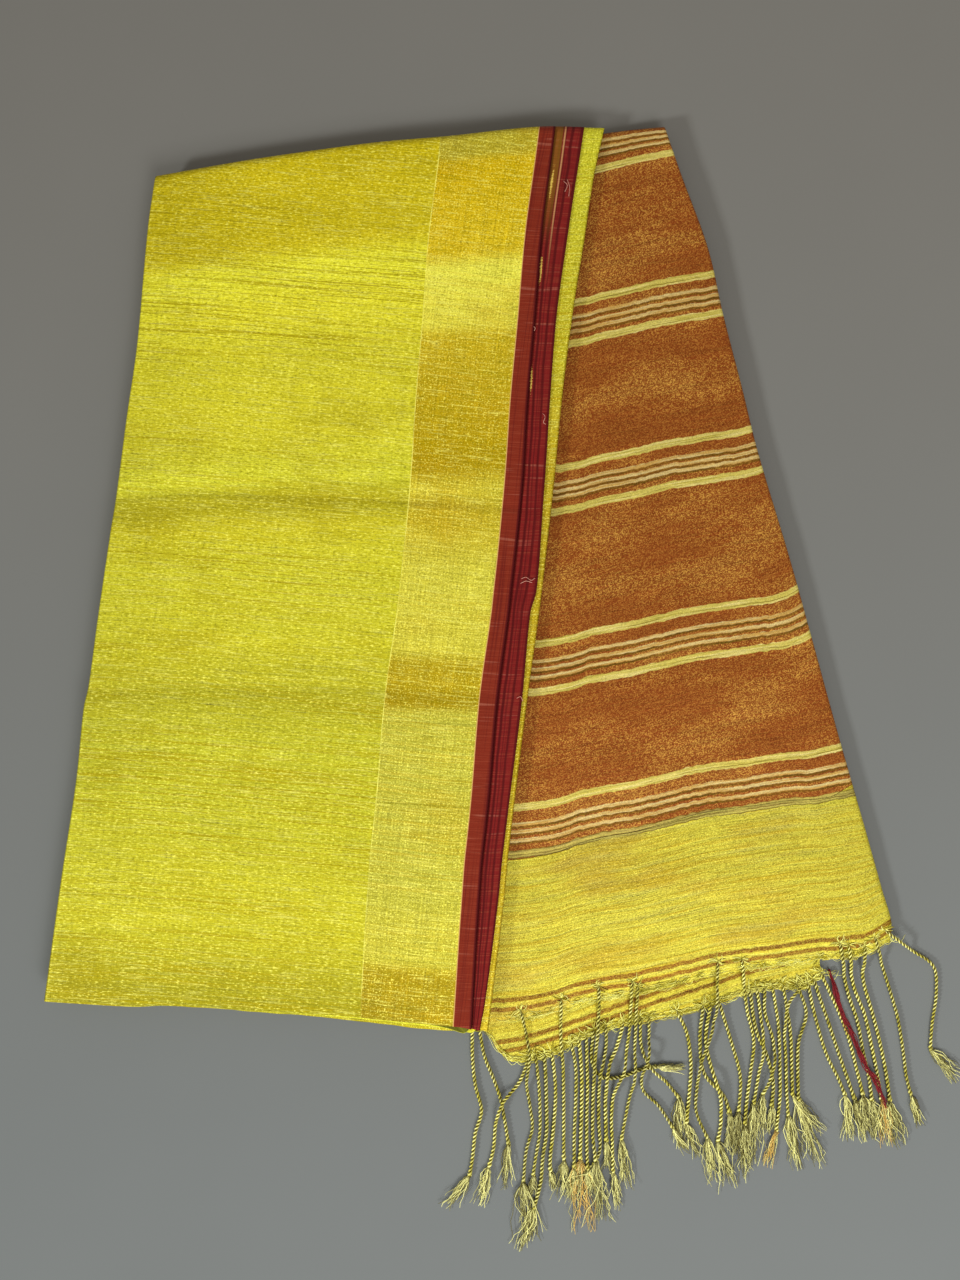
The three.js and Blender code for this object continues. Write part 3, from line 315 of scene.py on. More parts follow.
@dataclass
class Plan:
    """Where everything lies on the table, worked out once from the edge tables.

    The tucks are how far the pallu runs under the pack, and its lower sheet under the upper one. Start and
    stop are the lower sheet's side edges. Turned from is where the pallu's end turns up at its right corner.
    """

    pack_top: float = 16.0
    tuck: float = 4.4
    lower_start: float = 2.5
    lower_stop: float = 227.0
    lower_tuck: float = 8.0
    pallu_length: float = 593.0
    turned_from: float = 240.0
    pack: Patch = field(init=False)
    pallu: Patch = field(init=False)
    end_of_pallu: Curve = field(init=False)
    end_of_lower: Curve = field(init=False)
    shift: Array = field(init=False)

    def __post_init__(self) -> None:
        """Builds the two patches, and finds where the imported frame's origin lies on the plan."""
        left, right = smooth_curve(LEFT_EDGE), smooth_curve(RIGHT_EDGE)
        bottom, top = smooth_curve(BOTTOM_EDGE), smooth_curve(TOP_EDGE)
        fold, end, crown = smooth_curve(PALLU_FOLD), smooth_curve(PALLU_END), smooth_curve(PALLU_TOP)

        def on_y(curve: Curve, low: float, high: float, aside: float = 0.0) -> Curve:
            """An edge that runs up from y low to y high, moved aside to the left."""
            return lambda v: np.stack([curve(blend(low, high, v)) - aside, blend(low, high, v)], -1)

        def on_x(curve: Curve, low: float, high: float) -> Curve:
            """An edge that runs right from x low to x high."""
            return lambda u: np.stack([blend(low, high, u), curve(blend(low, high, u))], -1)

        crown_y = PALLU_TOP[0][1]
        start_y = float(end(RIGHT_EDGE[0][1] - self.tuck))
        start_x, crown_x = float(right(start_y)) - self.tuck, float(right(crown_y)) - self.tuck
        self.pack = Patch(on_y(left, *ends_of(LEFT_EDGE)), on_y(right, *ends_of(RIGHT_EDGE)),
                          on_x(bottom, *ends_of(BOTTOM_EDGE)), on_x(top, *ends_of(TOP_EDGE)))
        self.pallu = Patch(on_y(right, start_y, crown_y, self.tuck), on_y(fold, *ends_of(PALLU_FOLD)),
                           on_x(end, start_x, PALLU_END[-1][0]), on_x(crown, crown_x, PALLU_TOP[-1][0]))
        self.end_of_pallu, self.end_of_lower = end, smooth_curve(LOWER_END)
        low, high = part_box("pallu_lower_end")
        shift_x = low.x * MM_PER_METRE - self.lower_start
        shift_y = high.y * MM_PER_METRE - float(end(self.lower_stop)) - self.lower_tuck
        self.shift = np.array([shift_x, shift_y, 0.0])

    def metres(self, points: Array) -> Array:
        """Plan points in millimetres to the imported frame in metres."""
        return (points + self.shift) / MM_PER_METRE

    def from_right(self, band: str, v: Array) -> Array:
        """Adds up the widths of the bands, from the pack's right edge to the left limit of one.

        Args:
            band: a key of BAND_WIDTHS.
            v: shares along the pack.

        Returns:
            The distance, in millimetres.
        """
        last = list(BAND_WIDTHS).index(band)
        return sum(smooth_curve(rows)(v) for rows in list(BAND_WIDTHS.values())[:last + 1])

    def creases(self, u: Array, v: Array) -> Array:
        """Adds up how far the top sheet lies below its level, by bells of the distance from each crease.

        Args:
            u: shares across the pack.
            v: shares along it.

        Returns:
            The fall, in millimetres.
        """
        fall = np.zeros_like(u)
        for left, right, dip, depth, near, far, ridges in CREASES:
            away = (v - blend(left, right, u) + dip * np.exp(-u / 0.05)) * self.pack.length(u)
            fall += depth * np.exp(-((away / np.where(away > 0, far, near)) ** 2))
            for height, place, reach in ridges:
                fall -= height * np.exp(-(((away - place) / reach) ** 2))
        return fall

    def pallu_top(self, u: Array, v: Array) -> Array:
        """Height of the pallu's top sheet."""
        along = v * self.pallu.length(u)
        return blend(smooth_curve(PALLU_RISE_INNER)(along), smooth_curve(PALLU_RISE_OUTER)(along), u)

    def woven_along(self, u: Array, v: Array) -> Array:
        """Distance along the pallu's cloth from its top fold.

        The weft runs a little slanted below the fold, and rises at the outer edge half way down. Away from
        the frayed end it stays straight where that end turns up at its right corner: the turn's share of the
        height there is taken off.

        Args:
            u: shares across the pallu.
            v: shares up from its fringed end.

        Returns:
            The distance, in millimetres.
        """
        down = 1 - v
        x = self.pallu.bottom(u)[..., 0]
        straight = 0.18 * (x - 255) - 210
        turned = np.where(x > self.turned_from, np.maximum(self.end_of_pallu(x) - straight, 0), 0)
        free = np.clip((v * self.pallu.length(u) - 20) / 50, 0, 1)
        slant = 0.0165 * v * u * (1 - np.exp(-down / 0.03))
        edge = 5.5 * np.exp((u - 1) / 0.05 - ((v - 0.42) / 0.15) ** 2)
        return self.pallu_length * (down + slant) + edge - down * turned * free * free * (3 - 2 * free)


# -------- meshes from arrays

def grid_quads(across: int, along: int, offset: int = 0, flip: bool = False) -> Array:
    """Quads of a grid of points, columns first.

    Args:
        across: number of columns.
        along: points in each.
        offset: index of the first point.
        flip: turns the quads to face down.

    Returns:
        (n, 4) point indices.
    """
    i, j = np.meshgrid(np.arange(across - 1), np.arange(along - 1), indexing="ij")
    a = (i * along + j).ravel() + offset
    b = a + along
    quads = np.stack([a, b, b + 1, a + 1], -1)
    return quads[:, ::-1] if flip else quads


def grid_border(across: int, along: int) -> Array:
    """Finds the indices round a grid, anticlockwise from above.

    Args:
        across: its number of columns.
        along: its number of rows.

    Returns:
        The indices.
    """
    i, j = np.arange(across - 1), np.arange(along - 1)
    near, right = i * along, (across - 1) * along + j
    return np.concatenate([near, right, (across - 1 - i) * along + along - 1, along - 1 - j])


def make_piece(name: str, points: Array, faces: Array | list, uvs: dict[str, Array],
               material: Material, rim: Array | None = None) -> Piece:
    """Puts points, faces and per-point maps into a new smooth mesh object.

    Args:
        name: the piece's name.
        points: (n, 3) in metres.
        faces: rows of point indices.
        uvs: map name to (n, 2) values at the points.
        material: the finish.
        rim: points between which every edge is sharp.

    Returns:
        The linked object, at the origin.
    """
    mesh = bpy.data.meshes.new(name)
    mesh.from_pydata(points.tolist(), [], faces.tolist() if isinstance(faces, np.ndarray) else faces)
    corner = np.zeros(len(mesh.loops), np.int32)
    mesh.loops.foreach_get("vertex_index", corner)
    for label, values in uvs.items():
        layer = mesh.uv_layers.new(name=label)
        layer.data.foreach_set("uv", values[corner].astype(np.float32).ravel())
    mesh.polygons.foreach_set("use_smooth", np.ones(len(mesh.polygons), bool))
    if rim is not None:
        ends = np.zeros(len(mesh.edges) * 2, np.int32)
        mesh.edges.foreach_get("vertices", ends)
        sharp = mesh.attributes.new("sharp_edge", "BOOLEAN", "EDGE")
        sharp.data.foreach_set("value", np.isin(ends, rim).reshape(-1, 2).all(1))
    mesh.materials.append(material)
    mesh.update()
    piece = bpy.data.objects.new(name, mesh)
    bpy.context.scene.collection.objects.link(piece)
    return piece


def cloth_wall(name: str, outer: Array, thickness: float, uvs: dict[str, Array],
               material: Material, plan: Plan) -> Piece:
    """Closes a grid of a cloth's upper face into a wall: the lower face lies a thickness down its normals.

    Args:
        name: the piece's name.
        outer: (across, along, 3) in millimetres.
        thickness: the wall, in millimetres.
        uvs: map name to (across, along, 2) values.
        material: the finish.
        plan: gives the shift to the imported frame.

    Returns:
        The piece.
    """
    across, along = outer.shape[:2]
    normals = unit_rows(np.cross(np.gradient(outer, axis=0), np.gradient(outer, axis=1)))
    inner = outer - normals * thickness
    points = np.concatenate([outer.reshape(-1, 3), inner.reshape(-1, 3)])
    count = across * along
    ring = grid_border(across, along)
    turn = np.roll(ring, -1)
    rim = np.stack([ring, ring + count, turn + count, turn], -1)
    faces = np.concatenate([grid_quads(across, along), grid_quads(across, along, count, True), rim])
    maps = {label: np.tile(values.reshape(-1, 2), (2, 1)) for label, values in uvs.items()}
    return make_piece(name, plan.metres(points), faces, maps, material, np.concatenate([ring, ring + count]))


@dataclass(frozen=True)
class Fold:
    """A rounded edge of a sheet: how far in it starts, how deep it falls, and how far round it goes."""

    radius: float
    drop: float
    turn: float = 90.0
    steps: int = 7

    def stations(self) -> tuple[Array, Array]:
        """Distance in from the fold's outermost line, and fall: a quarter ellipse, from the flat outwards."""
        angle = np.radians(np.linspace(self.turn / self.steps, self.turn, self.steps))
        return self.radius * (1 - np.sin(angle)), self.drop * (1 - np.cos(angle))


@dataclass(frozen=True)
class Lines:
    """Grid lines of a sheet in one direction: a share of the way, a fixed offset, and a fall."""

    share: Array
    offset: Array
    fall: Array

    @classmethod
    def between(cls, count: int, low: Fold | None, high: Fold | None, shares: Array | None = None) -> "Lines":
        """Lays even lines between two limits, with a fold's lines at either end.

        Args:
            count: number of lines on the flat.
            low: the fold at the start, or None for a cut edge.
            high: the fold at the end, or None.
            shares: places of the flat lines, if they aren't even.

        Returns:
            The lines.
        """
        flat = np.linspace(0, 1, count) if shares is None else shares
        from_low, from_high = (f.radius if f else 0.0 for f in (low, high))
        parts = [(flat, from_low * (1 - flat) - from_high * flat, np.zeros_like(flat))]
        if low:
            inwards, down = low.stations()
            parts.insert(0, (np.zeros(low.steps), inwards[::-1], down[::-1]))
        if high:
            inwards, down = high.stations()
            parts.append((np.ones(high.steps), -inwards, down))
        return cls(*(np.concatenate(column) for column in zip(*parts)))


# -------- finishes

def linear(colour: Colour) -> tuple[float, float, float, float]:
    """Turns an 8-bit screen colour into the linear colour a shader takes, by the sRGB curve.

    Args:
        colour: red, green and blue, 0 to 255.

    Returns:
        The same, 0 to 1, and an alpha of 1.
    """
    value = np.array(colour, float) / 255
    value = np.where(value <= 0.04045, value / 12.92, ((value + 0.055) / 1.055) ** 2.4)
    return (*(float(v) for v in value), 1.0)


class Weaver:
    """Makes a material's nodes in plain steps; most methods add one node and return its output socket."""

    def __init__(self, name: str) -> None:
        """Starts an empty material with a principled shader.

        Args:
            name: the material's name.
        """
        self.material = bpy.data.materials.new(name)
        self.material.use_nodes = True
        self.tree = self.material.node_tree
        self.tree.nodes.clear()
        self.shader = self.add("ShaderNodeBsdfPrincipled", {})
        self.add("ShaderNodeOutputMaterial", {0: self.shader.outputs[0]})

    def put(self, node: bpy.types.Node, inputs: dict[int | str, object]) -> None:
        """Links each named input to a socket, or sets its value.

        Args:
            node: the node.
            inputs: input to socket or value; None leaves it.
        """
        for name, value in inputs.items():
            if isinstance(value, Socket):
                self.tree.links.new(value, node.inputs[name])
            elif value is not None:
                node.inputs[name].default_value = value

    def add(self, kind: str, inputs: dict[int | str, object], **settings: object) -> bpy.types.Node:
        """Adds a node.

        Args:
            kind: its type.
            inputs: input to socket or value.
            settings: the node's own options.

        Returns:
            The node.
        """
        node = self.tree.nodes.new(kind)
        for name, value in settings.items():
            setattr(node, name, value)
        self.put(node, inputs)
        return node

    def uv(self, label: str) -> Socket:
        """One of the piece's own maps."""
        return self.add("ShaderNodeUVMap", {}, uv_map=label).outputs[0]

    def split(self, vector: Socket) -> tuple[Socket, ...]:
        """The parts of a vector."""
        return tuple(self.add("ShaderNodeSeparateXYZ", {0: vector}).outputs)

    def stretch(self, vector: Socket, x: float, y: float, aside: float = 0.0) -> Socket:
        """A vector scaled by its own amount each way, and moved aside so that no two patterns match."""
        moved = (aside, aside * 1.7, aside * 0.3)
        return self.add("ShaderNodeMapping", {0: vector, "Scale": (x, y, 1), "Location": moved}).outputs[0]

    def noise(self, vector: Socket, x: float, y: float, aside: float, detail: float = 2.0) -> Socket:
        """Draws smooth noise.

        Args:
            vector: where.
            x: waves to a unit of the vector's first part.
            y: and of its second.
            aside: how far it is moved aside.
            detail: octaves.

        Returns:
            The noise, about 0.5.
        """
        where = self.stretch(vector, x, y, aside)
        inputs = {"Vector": where, "Scale": 1, "Detail": detail, "Roughness": 0.55}
        return self.add("ShaderNodeTexNoise", inputs).outputs[0]

    def sway(self, vector: Socket, often: float, reach: float) -> Socket:
        """Moves a vector lengthwise by smooth noise, so that what is drawn on it wavers.

        Args:
            vector: the vector.
            often: waves of the noise to a unit.
            reach: how far it moves.

        Returns:
            The moved vector.
        """
        along = self.times(self.noise(vector, often, often, 9.0), reach)
        moved = self.add("ShaderNodeCombineXYZ", {1: along})
        return self.add("ShaderNodeVectorMath", {0: vector, 1: moved.outputs[0]}).outputs[0]

    def cells(self, vector: Socket, x: float, y: float) -> Socket:
        """A random value from 0 to 1 for each cell of a grid with x and y cells a metre."""
        cell = self.add("ShaderNodeVectorMath", {0: self.stretch(vector, x, y)}, operation="FLOOR").outputs[0]
        return self.add("ShaderNodeTexWhiteNoise", {"Vector": cell}, noise_dimensions="2D").outputs[0]

    def math(self, operation: str, a: object, b: object = None) -> Socket:
        """One sum of two values."""
        return self.add("ShaderNodeMath", {0: a, 1: b}, operation=operation).outputs[0]

    def times(self, a: object, b: object) -> Socket:
        """One value times another."""
        return self.math("MULTIPLY", a, b)

    def sum(self, start: float, *terms: tuple[Socket, float]) -> Socket:
        """Adds sockets to a number, each taken about 0.5 and scaled.

        Args:
            start: the number.
            terms: sockets and their weights.

        Returns:
            The total.
        """
        total: object = start
        for socket, weight in terms:
            total = self.math("ADD", total, self.times(self.math("SUBTRACT", socket, 0.5), weight))
        return total

    def between(self, value: object, low: float, high: float, at_low: float = 0.0, at_high: float = 1.0
                ) -> Socket:
        """Maps low..high to at_low..at_high along a smooth step."""
        inputs = dict(enumerate((value, low, high, at_low, at_high)))
        return self.add("ShaderNodeMapRange", inputs, interpolation_type="SMOOTHSTEP").outputs[0]

    def profile(self, value: Socket, stops: Profile) -> Socket:
        """Reads a number off a smooth ramp, which holds half of it so that it may go up to 2.

        Args:
            value: where on the ramp, 0 to 1.
            stops: places and numbers.

        Returns:
            The number.
        """
        node = self.add("ShaderNodeValToRGB", {0: value})
        node.color_ramp.interpolation = "EASE"
        elements = node.color_ramp.elements
        while len(elements) < len(stops):
            elements.new(0.5)
        for element, (position, number) in zip(elements, stops):
            element.position = position
            element.color = (number / 2, number / 2, number / 2, 1)
        return self.times(node.outputs[0], 2.0)

    def mix(self, share: object, a: object, b: object) -> Socket:
        """Colour a where share is 0 and b where it is 1."""
        a, b = (linear(colour) if isinstance(colour, tuple) else colour for colour in (a, b))
        return self.add("ShaderNodeMix", {0: share, 6: a, 7: b}, data_type="RGBA").outputs[2]

    def tints(self, colour: object, *rows: tuple) -> Socket:
        """Mixes tones into a colour in turn, each by shares that follow a texture.

        Args:
            colour: what lies below.
            rows: tone, texture, its low and high values, and the tone's shares at those.

        Returns:
            The colour on top.
        """
        for tone, *limits in rows:
            colour = self.mix(self.between(*limits), colour, tone)
        return colour

    def brighten(self, colour: Socket, factor: Socket) -> Socket:
        """A colour times a number."""
        return self.add("ShaderNodeVectorMath", {0: colour, "Scale": factor}, operation="SCALE").outputs[0]

    def line(self, value: Socket, centre: float, half: float, soft: float) -> Socket:
        """1 within half a width of a centre, 0 outside, with soft edges."""
        away = self.math("ABSOLUTE", self.math("SUBTRACT", value, centre))
        return self.between(away, half - soft, half + soft, 1, 0)

    def lines(self, value: Socket, centres: Sequence[float], half: float, soft: float) -> Socket:
        """Lines of one width at several centres, as one mask."""
        masks = [self.line(value, centre, half, soft) for centre in centres]
        return reduce(lambda a, b: self.math("MAXIMUM", a, b), masks)

    def finish(self, colour: Socket, height: Socket | None, depth: float, settings: dict[str, float]
               ) -> Material:
        """Joins colour and relief to the shader and sets its plain numbers.

        Args:
            colour: base colour.
            height: relief, about 0 to 1, or None.
            depth: the relief's depth in metres.
            settings: shader socket name to number.

        Returns:
            The material.
        """
        self.put(self.shader, {"Base Color": colour, **settings})
        if height is not None:
            bump = self.add("ShaderNodeBump", {"Strength": 1.0, "Distance": depth, "Height": height})
            self.put(self.shader, {"Normal": bump.outputs[0]})
        return self.material


METAL_THREAD = {"Metallic": 0.3, "Roughness": 0.45, "Specular IOR Level": 0.08}
COTTON = {"Roughness": 0.85, "Specular IOR Level": 0.1, "Sheen Weight": 0.03, "Sheen Roughness": 0.5}
YARN = {"Metallic": 0.1, "Roughness": 0.5, "Specular IOR Level": 0.2}
TISSUE_RELIEF, SELVEDGE_RELIEF, YARN_RELIEF = 0.0002, 0.0003, 0.0001


@dataclass(frozen=True)
class TissueFinish:
    """Gold tissue: metal weft over a fine warp, slubby across and finely grained.

    Sheen is painted sheen: how pale the gold looks along the cloth, from 0 to 1; shade is painted shade, how
    bright it looks there. Both change where it was pressed, and side says how much painted shade darkens it
    towards the left. Outline is the width of painted shade along the left folded edge, and heading the width
    of a pale thread at the left edge. Pressed lines are thin marks across the cloth, each a place and a
    strength. Weft is how many flecks of grain there are to a metre across it, fleck how pale they get (the
    weave's grain, partly painted glints of the metal thread), and threads how strong the long dark threads
    are. Layers is how many folded edges the piece stacks up, with painted shade in the gap between each two.
    """

    name: str
    sheen: Profile
    shade: Profile
    gold: Colour = (206, 186, 20)
    light: Colour = (222, 220, 54)
    deep: Colour = (168, 142, 4)
    olive: Colour = (132, 124, 10)
    pale: Colour = (250, 246, 116)
    # painted shade along the left folded edge, drawn over the outline's width
    rim: Colour = (92, 82, 6)
    slub: float = 0.95
    grain: float = 0.95
    fleck: float = 0.55
    warp: float = 0.4
    weft: float = 900.0
    threads: float = 1.0
    blotch: float = 0.25
    gain: float = 1.2
    outline: float = 0.0
    heading: float = 0.0
    side: float = 0.0
    layers: int = 0
    pressed: Profile = ()

    def build(self) -> Material:
        """Makes the material: tone by place, times long threads, slubs, warp, grain and soft blotches.

        Returns:
            The material.
        """
        w = Weaver(self.name)
        cloth = w.uv("cloth")
        across, place = w.split(w.uv("plan"))[:2]
        # Painted sheen and painted shade: bands of paler gold and of brighter or darker cloth along it.
        gold = w.mix(w.profile(place, self.sheen), self.gold, self.light)
        base = w.brighten(gold, w.profile(place, self.shade))
        zone = w.noise(cloth, 2, 24, 5.0)
        thread = w.noise(cloth, 8, 1000, 1.0, 3)
        slub = w.noise(cloth, 60, 1250, 2.0)
        warp = w.noise(cloth, 1050, 18, 3.0)
        grain = w.noise(cloth, self.weft, 1050, 4.0)
        cell = w.cells(cloth, 1250, 1600)
        blotch = w.noise(cloth, 16, 26, 5.0, 3)
        dark_thread = w.times(w.between(thread, 0.48, 0.62, 0, self.threads),
                              w.between(zone, 0.4, 0.6, 0.25, 0.85))
        colour = w.mix(dark_thread, w.tints(base, (self.deep, blotch, 0.5, 0.75, 0, 0.4)), self.deep)
        # Slubs and grain of the weave; the pale flecks are partly painted glints of the metal thread.
        colour = w.tints(
            colour, (self.olive, slub, 0.52, 0.68, 0, 0.5), (self.pale, slub, 0.32, 0.45, 0.4, 0),
            (self.olive, grain, 0.28, 0.45, 0.5, 0), (self.pale, grain, 0.55, 0.72, 0, self.fleck))
        for at, strength in self.pressed:
            broken = w.between(slub, 0.35, 0.6, strength, strength * 0.5)
            colour = w.mix(w.times(w.line(place, at, 0.0009, 0.0006), broken), colour, self.olive)
        # Painted shade: a dark line along the left folded edge.
        if self.outline:
            colour = w.tints(colour, (self.rim, across, 0, self.outline, 0.75, 0))
        if self.heading:
            pale_thread = w.times(w.between(across, self.heading * 0.6, self.heading, 0.6, 0),
                                  w.between(blotch, 0.38, 0.6, 0.15, 1))
            colour = w.mix(pale_thread, colour, self.pale)
        value = w.sum(self.gain, (thread, self.slub), (slub, self.slub), (warp, self.warp),
                      (grain, self.grain), (cell, 0.28), (blotch, self.blotch))
        # Painted shade: darker towards the left.
        value = w.times(value, w.between(across, 0, 0.45, 1 - self.side, 1))
        # Painted shade in the gaps between the stacked folded edges.
        if self.layers:
            layer = w.math("FRACT", w.times(place, float(self.layers)))
            value = w.times(value, w.line(layer, 0.5, 0.42, 0.12))
        height = w.sum(0.5, (thread, 0.6), (slub, 0.5), (warp, self.warp), (grain, 0.5))
        return w.finish(w.brighten(colour, value), height, TISSUE_RELIEF, METAL_THREAD)


# Stripes across the pallu, by the distance woven from its top fold in millimetres.
WIDE_STRIPES = (25.9, 114.0, 141.2, 224.1, 253.0, 340.6, 372.9, 449.4)
THIN_STRIPES = (
    6.4, 11.0, 16.1, 123.5, 128.6, 133.3, 234.7, 239.4, 243.7, 352.4, 357.9, 363.3, 460.8, 465.9, 471.8,
)
GREY_STRIPE = 480.9
RUST_LINES = (578.5, 585.0)


@dataclass(frozen=True)
class PalluWeave:
    """What the pallu's look is drawn from.

    In order: the nodes, the distance woven along it in millimetres, long flecks across, short ones, a value
    for each thread crossing, broad patches and wavering streaks.
    """

    w: Weaver
    along: Socket
    slub: Socket
    grain: Socket
    cell: Socket
    patch: Socket
    streak: Socket


@dataclass(frozen=True)
class PalluFinish:
    """Rust and gold shot tissue with gold cross stripes, or the plain gold end band with two rust lines."""

    name: str
    band: bool = False
    rust: Colour = (147, 76, 27)
    line: Colour = (128, 72, 18)
    rust_gold: Colour = (163, 106, 46)
    rust_deep: Colour = (122, 52, 18)
    glint: Colour = (206, 158, 68)
    wide: Colour = (208, 192, 92)
    wide_pale: Colour = (246, 228, 140)
    wide_deep: Colour = (156, 142, 52)
    thin: Colour = (190, 152, 78)
    thin_pale: Colour = (232, 208, 138)
    grey: Colour = (150, 134, 70)
    olive: Colour = (104, 80, 16)
    gold: Colour = (224, 212, 70)
    gold_deep: Colour = (176, 150, 30)
    # painted shade of the band's soft folds, in brownish patches
    fold_shade_brown: Colour = (176, 138, 56)
    pale: Colour = (246, 236, 112)
    gain: float = 1.0

    def build(self) -> Material:
        """Makes the material on the cloth map, whose second value is the distance woven from the top fold.

        Returns:
            The material.
        """
        w = Weaver(self.name)
        cloth = w.uv("cloth")
        waver = w.sum(0.0, (w.noise(cloth, 28, 2, 6.0), 1.2), (w.noise(cloth, 170, 9, 7.0, 1), 2.2))
        t = PalluWeave(
            w, along=w.math("ADD", w.times(w.split(cloth)[1], float(MM_PER_METRE)), waver),
            slub=w.noise(cloth, 34, 1150, 1.5, 3), grain=w.noise(cloth, 1150, 1300, 2.5),
            cell=w.cells(cloth, 1500, 1800), patch=w.noise(cloth, 14, 42, 4.5, 3),
            streak=w.noise(w.sway(cloth, 22, 0.003), 10, 330, 3.5, 3))
        colour = self._grey_stripe(t, self._gold(t) if self.band else self._striped(t, self._rust(t)))
        # Streaks also brighten and darken the cloth, most in the band: painted shade and sheen of its
        # crinkles, over real relief.
        value = w.sum(self.gain, (t.slub, 1.0), (t.grain, 0.8), (t.cell, 0.3), (t.patch, 0.25),
                      (t.streak, 0.8 if self.band else 0.25))
        height = w.sum(0.5, (t.slub, 0.7), (t.grain, 0.6), (t.streak, 1.6 if self.band else 0.5))
        return w.finish(w.brighten(colour, value), height, TISSUE_RELIEF, METAL_THREAD)

    def _gold(self, t: PalluWeave) -> Socket:
        """Draws the gold end band: crinkled weft streaks in painted shade and sheen, darker slubs, brownish
        patches of painted shade where it folds softly, and two rust lines.

        Args:
            t: the weave.

        Returns:
            The colour.
        """
        w = t.w
        # Brownish patches of painted fold shade; streaks of painted shade and sheen where the band crinkles.
        colour = w.tints(
            self.gold, (self.fold_shade_brown, t.patch, 0.48, 0.7, 0, 0.6),
            (self.gold_deep, t.streak, 0.5, 0.64, 0, 0.75), (self.pale, t.streak, 0.36, 0.46, 0.35, 0),
            (self.gold_deep, t.slub, 0.48, 0.62, 0, 0.7), (self.olive, t.grain, 0.28, 0.45, 0.5, 0),
            (self.pale, t.grain, 0.56, 0.72, 0, 0.5))
        lines = w.times(w.lines(t.along, RUST_LINES, 1.6, 0.6), w.between(t.grain, 0.35, 0.6, 1, 0.65))
        return w.mix(lines, colour, self.line)

    def _rust(self, t: PalluWeave) -> Socket:
        """Draws the shot ground: rust, deeper in streaks, with gold glints that gather in patches.

        Args:
            t: the weave.

        Returns:
            The colour.
        """
        w = t.w
        colour = w.tints(self.rust, (self.rust_gold, t.patch, 0.5, 0.68, 0, 0.4),
                         (self.rust_deep, t.slub, 0.45, 0.7, 0, 0.5))
        speck = w.math("ADD", w.times(t.grain, 0.55), w.times(t.cell, 0.45))
        glint = w.times(w.between(speck, 0.44, 0.76), w.between(t.patch, 0.36, 0.64, 0.35, 1))
        colour = w.mix(w.times(glint, 0.75), colour, self.glint)
        return w.tints(colour, (self.rust_deep, speck, 0.24, 0.42, 0.5, 0))

    def _striped(self, t: PalluWeave, ground: Socket) -> Socket:
        """Lays on the cross stripes: thin ones with an olive line below, wide ones with hairlines.

        Args:
            t: the weave, whose slubs break the stripes up.
            ground: the colour below.

        Returns:
            The colour.
        """
        w, slub = t.w, t.slub
        olive = w.lines(t.along, [at + 2.05 for at in THIN_STRIPES], 0.8, 0.3)
        hair = w.lines(t.along, [at + 0.9 for at in WIDE_STRIPES], 0.28, 0.2)
        thin, wide = w.lines(t.along, THIN_STRIPES, 1.2, 0.35), w.lines(t.along, WIDE_STRIPES, 2.55, 0.35)
        thin_tone = w.tints(self.thin_pale, (self.thin, slub, 0.36, 0.6))
        wide_tone = w.tints(self.wide_pale, (self.wide, slub, 0.34, 0.5),
                            (self.wide_deep, slub, 0.52, 0.66, 0, 0.8))
        colour = w.mix(w.times(olive, w.between(slub, 0.35, 0.55, 0.9, 0.6)), ground, self.olive)
        colour = w.mix(w.times(thin, 0.92), colour, thin_tone)
        colour = w.mix(w.times(wide, 0.95), colour, wide_tone)
        return w.mix(w.times(hair, w.between(slub, 0.44, 0.56, 0, 0.7)), colour, self.olive)

    def _grey_stripe(self, t: PalluWeave, ground: Socket) -> Socket:
        """Lays on the last stripe before the gold end: greyish gold between dark hairlines.

        Args:
            t: the weave.
            ground: the colour below.

        Returns:
            The colour.
        """
        w = t.w
        tone = w.tints(self.wide, (self.grey, t.slub, 0.36, 0.62))
        colour = w.mix(w.times(w.line(t.along, GREY_STRIPE, 2.5, 0.4), 0.9), ground, tone)
        for aside, half in ((-2.5, 0.45), (0.6, 0.3), (2.3, 0.3)):
            edge = w.line(t.along, GREY_STRIPE + aside, half, 0.2)
            colour = w.mix(w.times(edge, w.between(t.slub, 0.4, 0.55, 0.15, 0.85)), colour, self.olive)
        return colour


class SelvedgePart(Enum):
    """Which of the two red selvedges a finish is for."""

    TOP = "selvedge_top"
    UNDER = "selvedge_under"


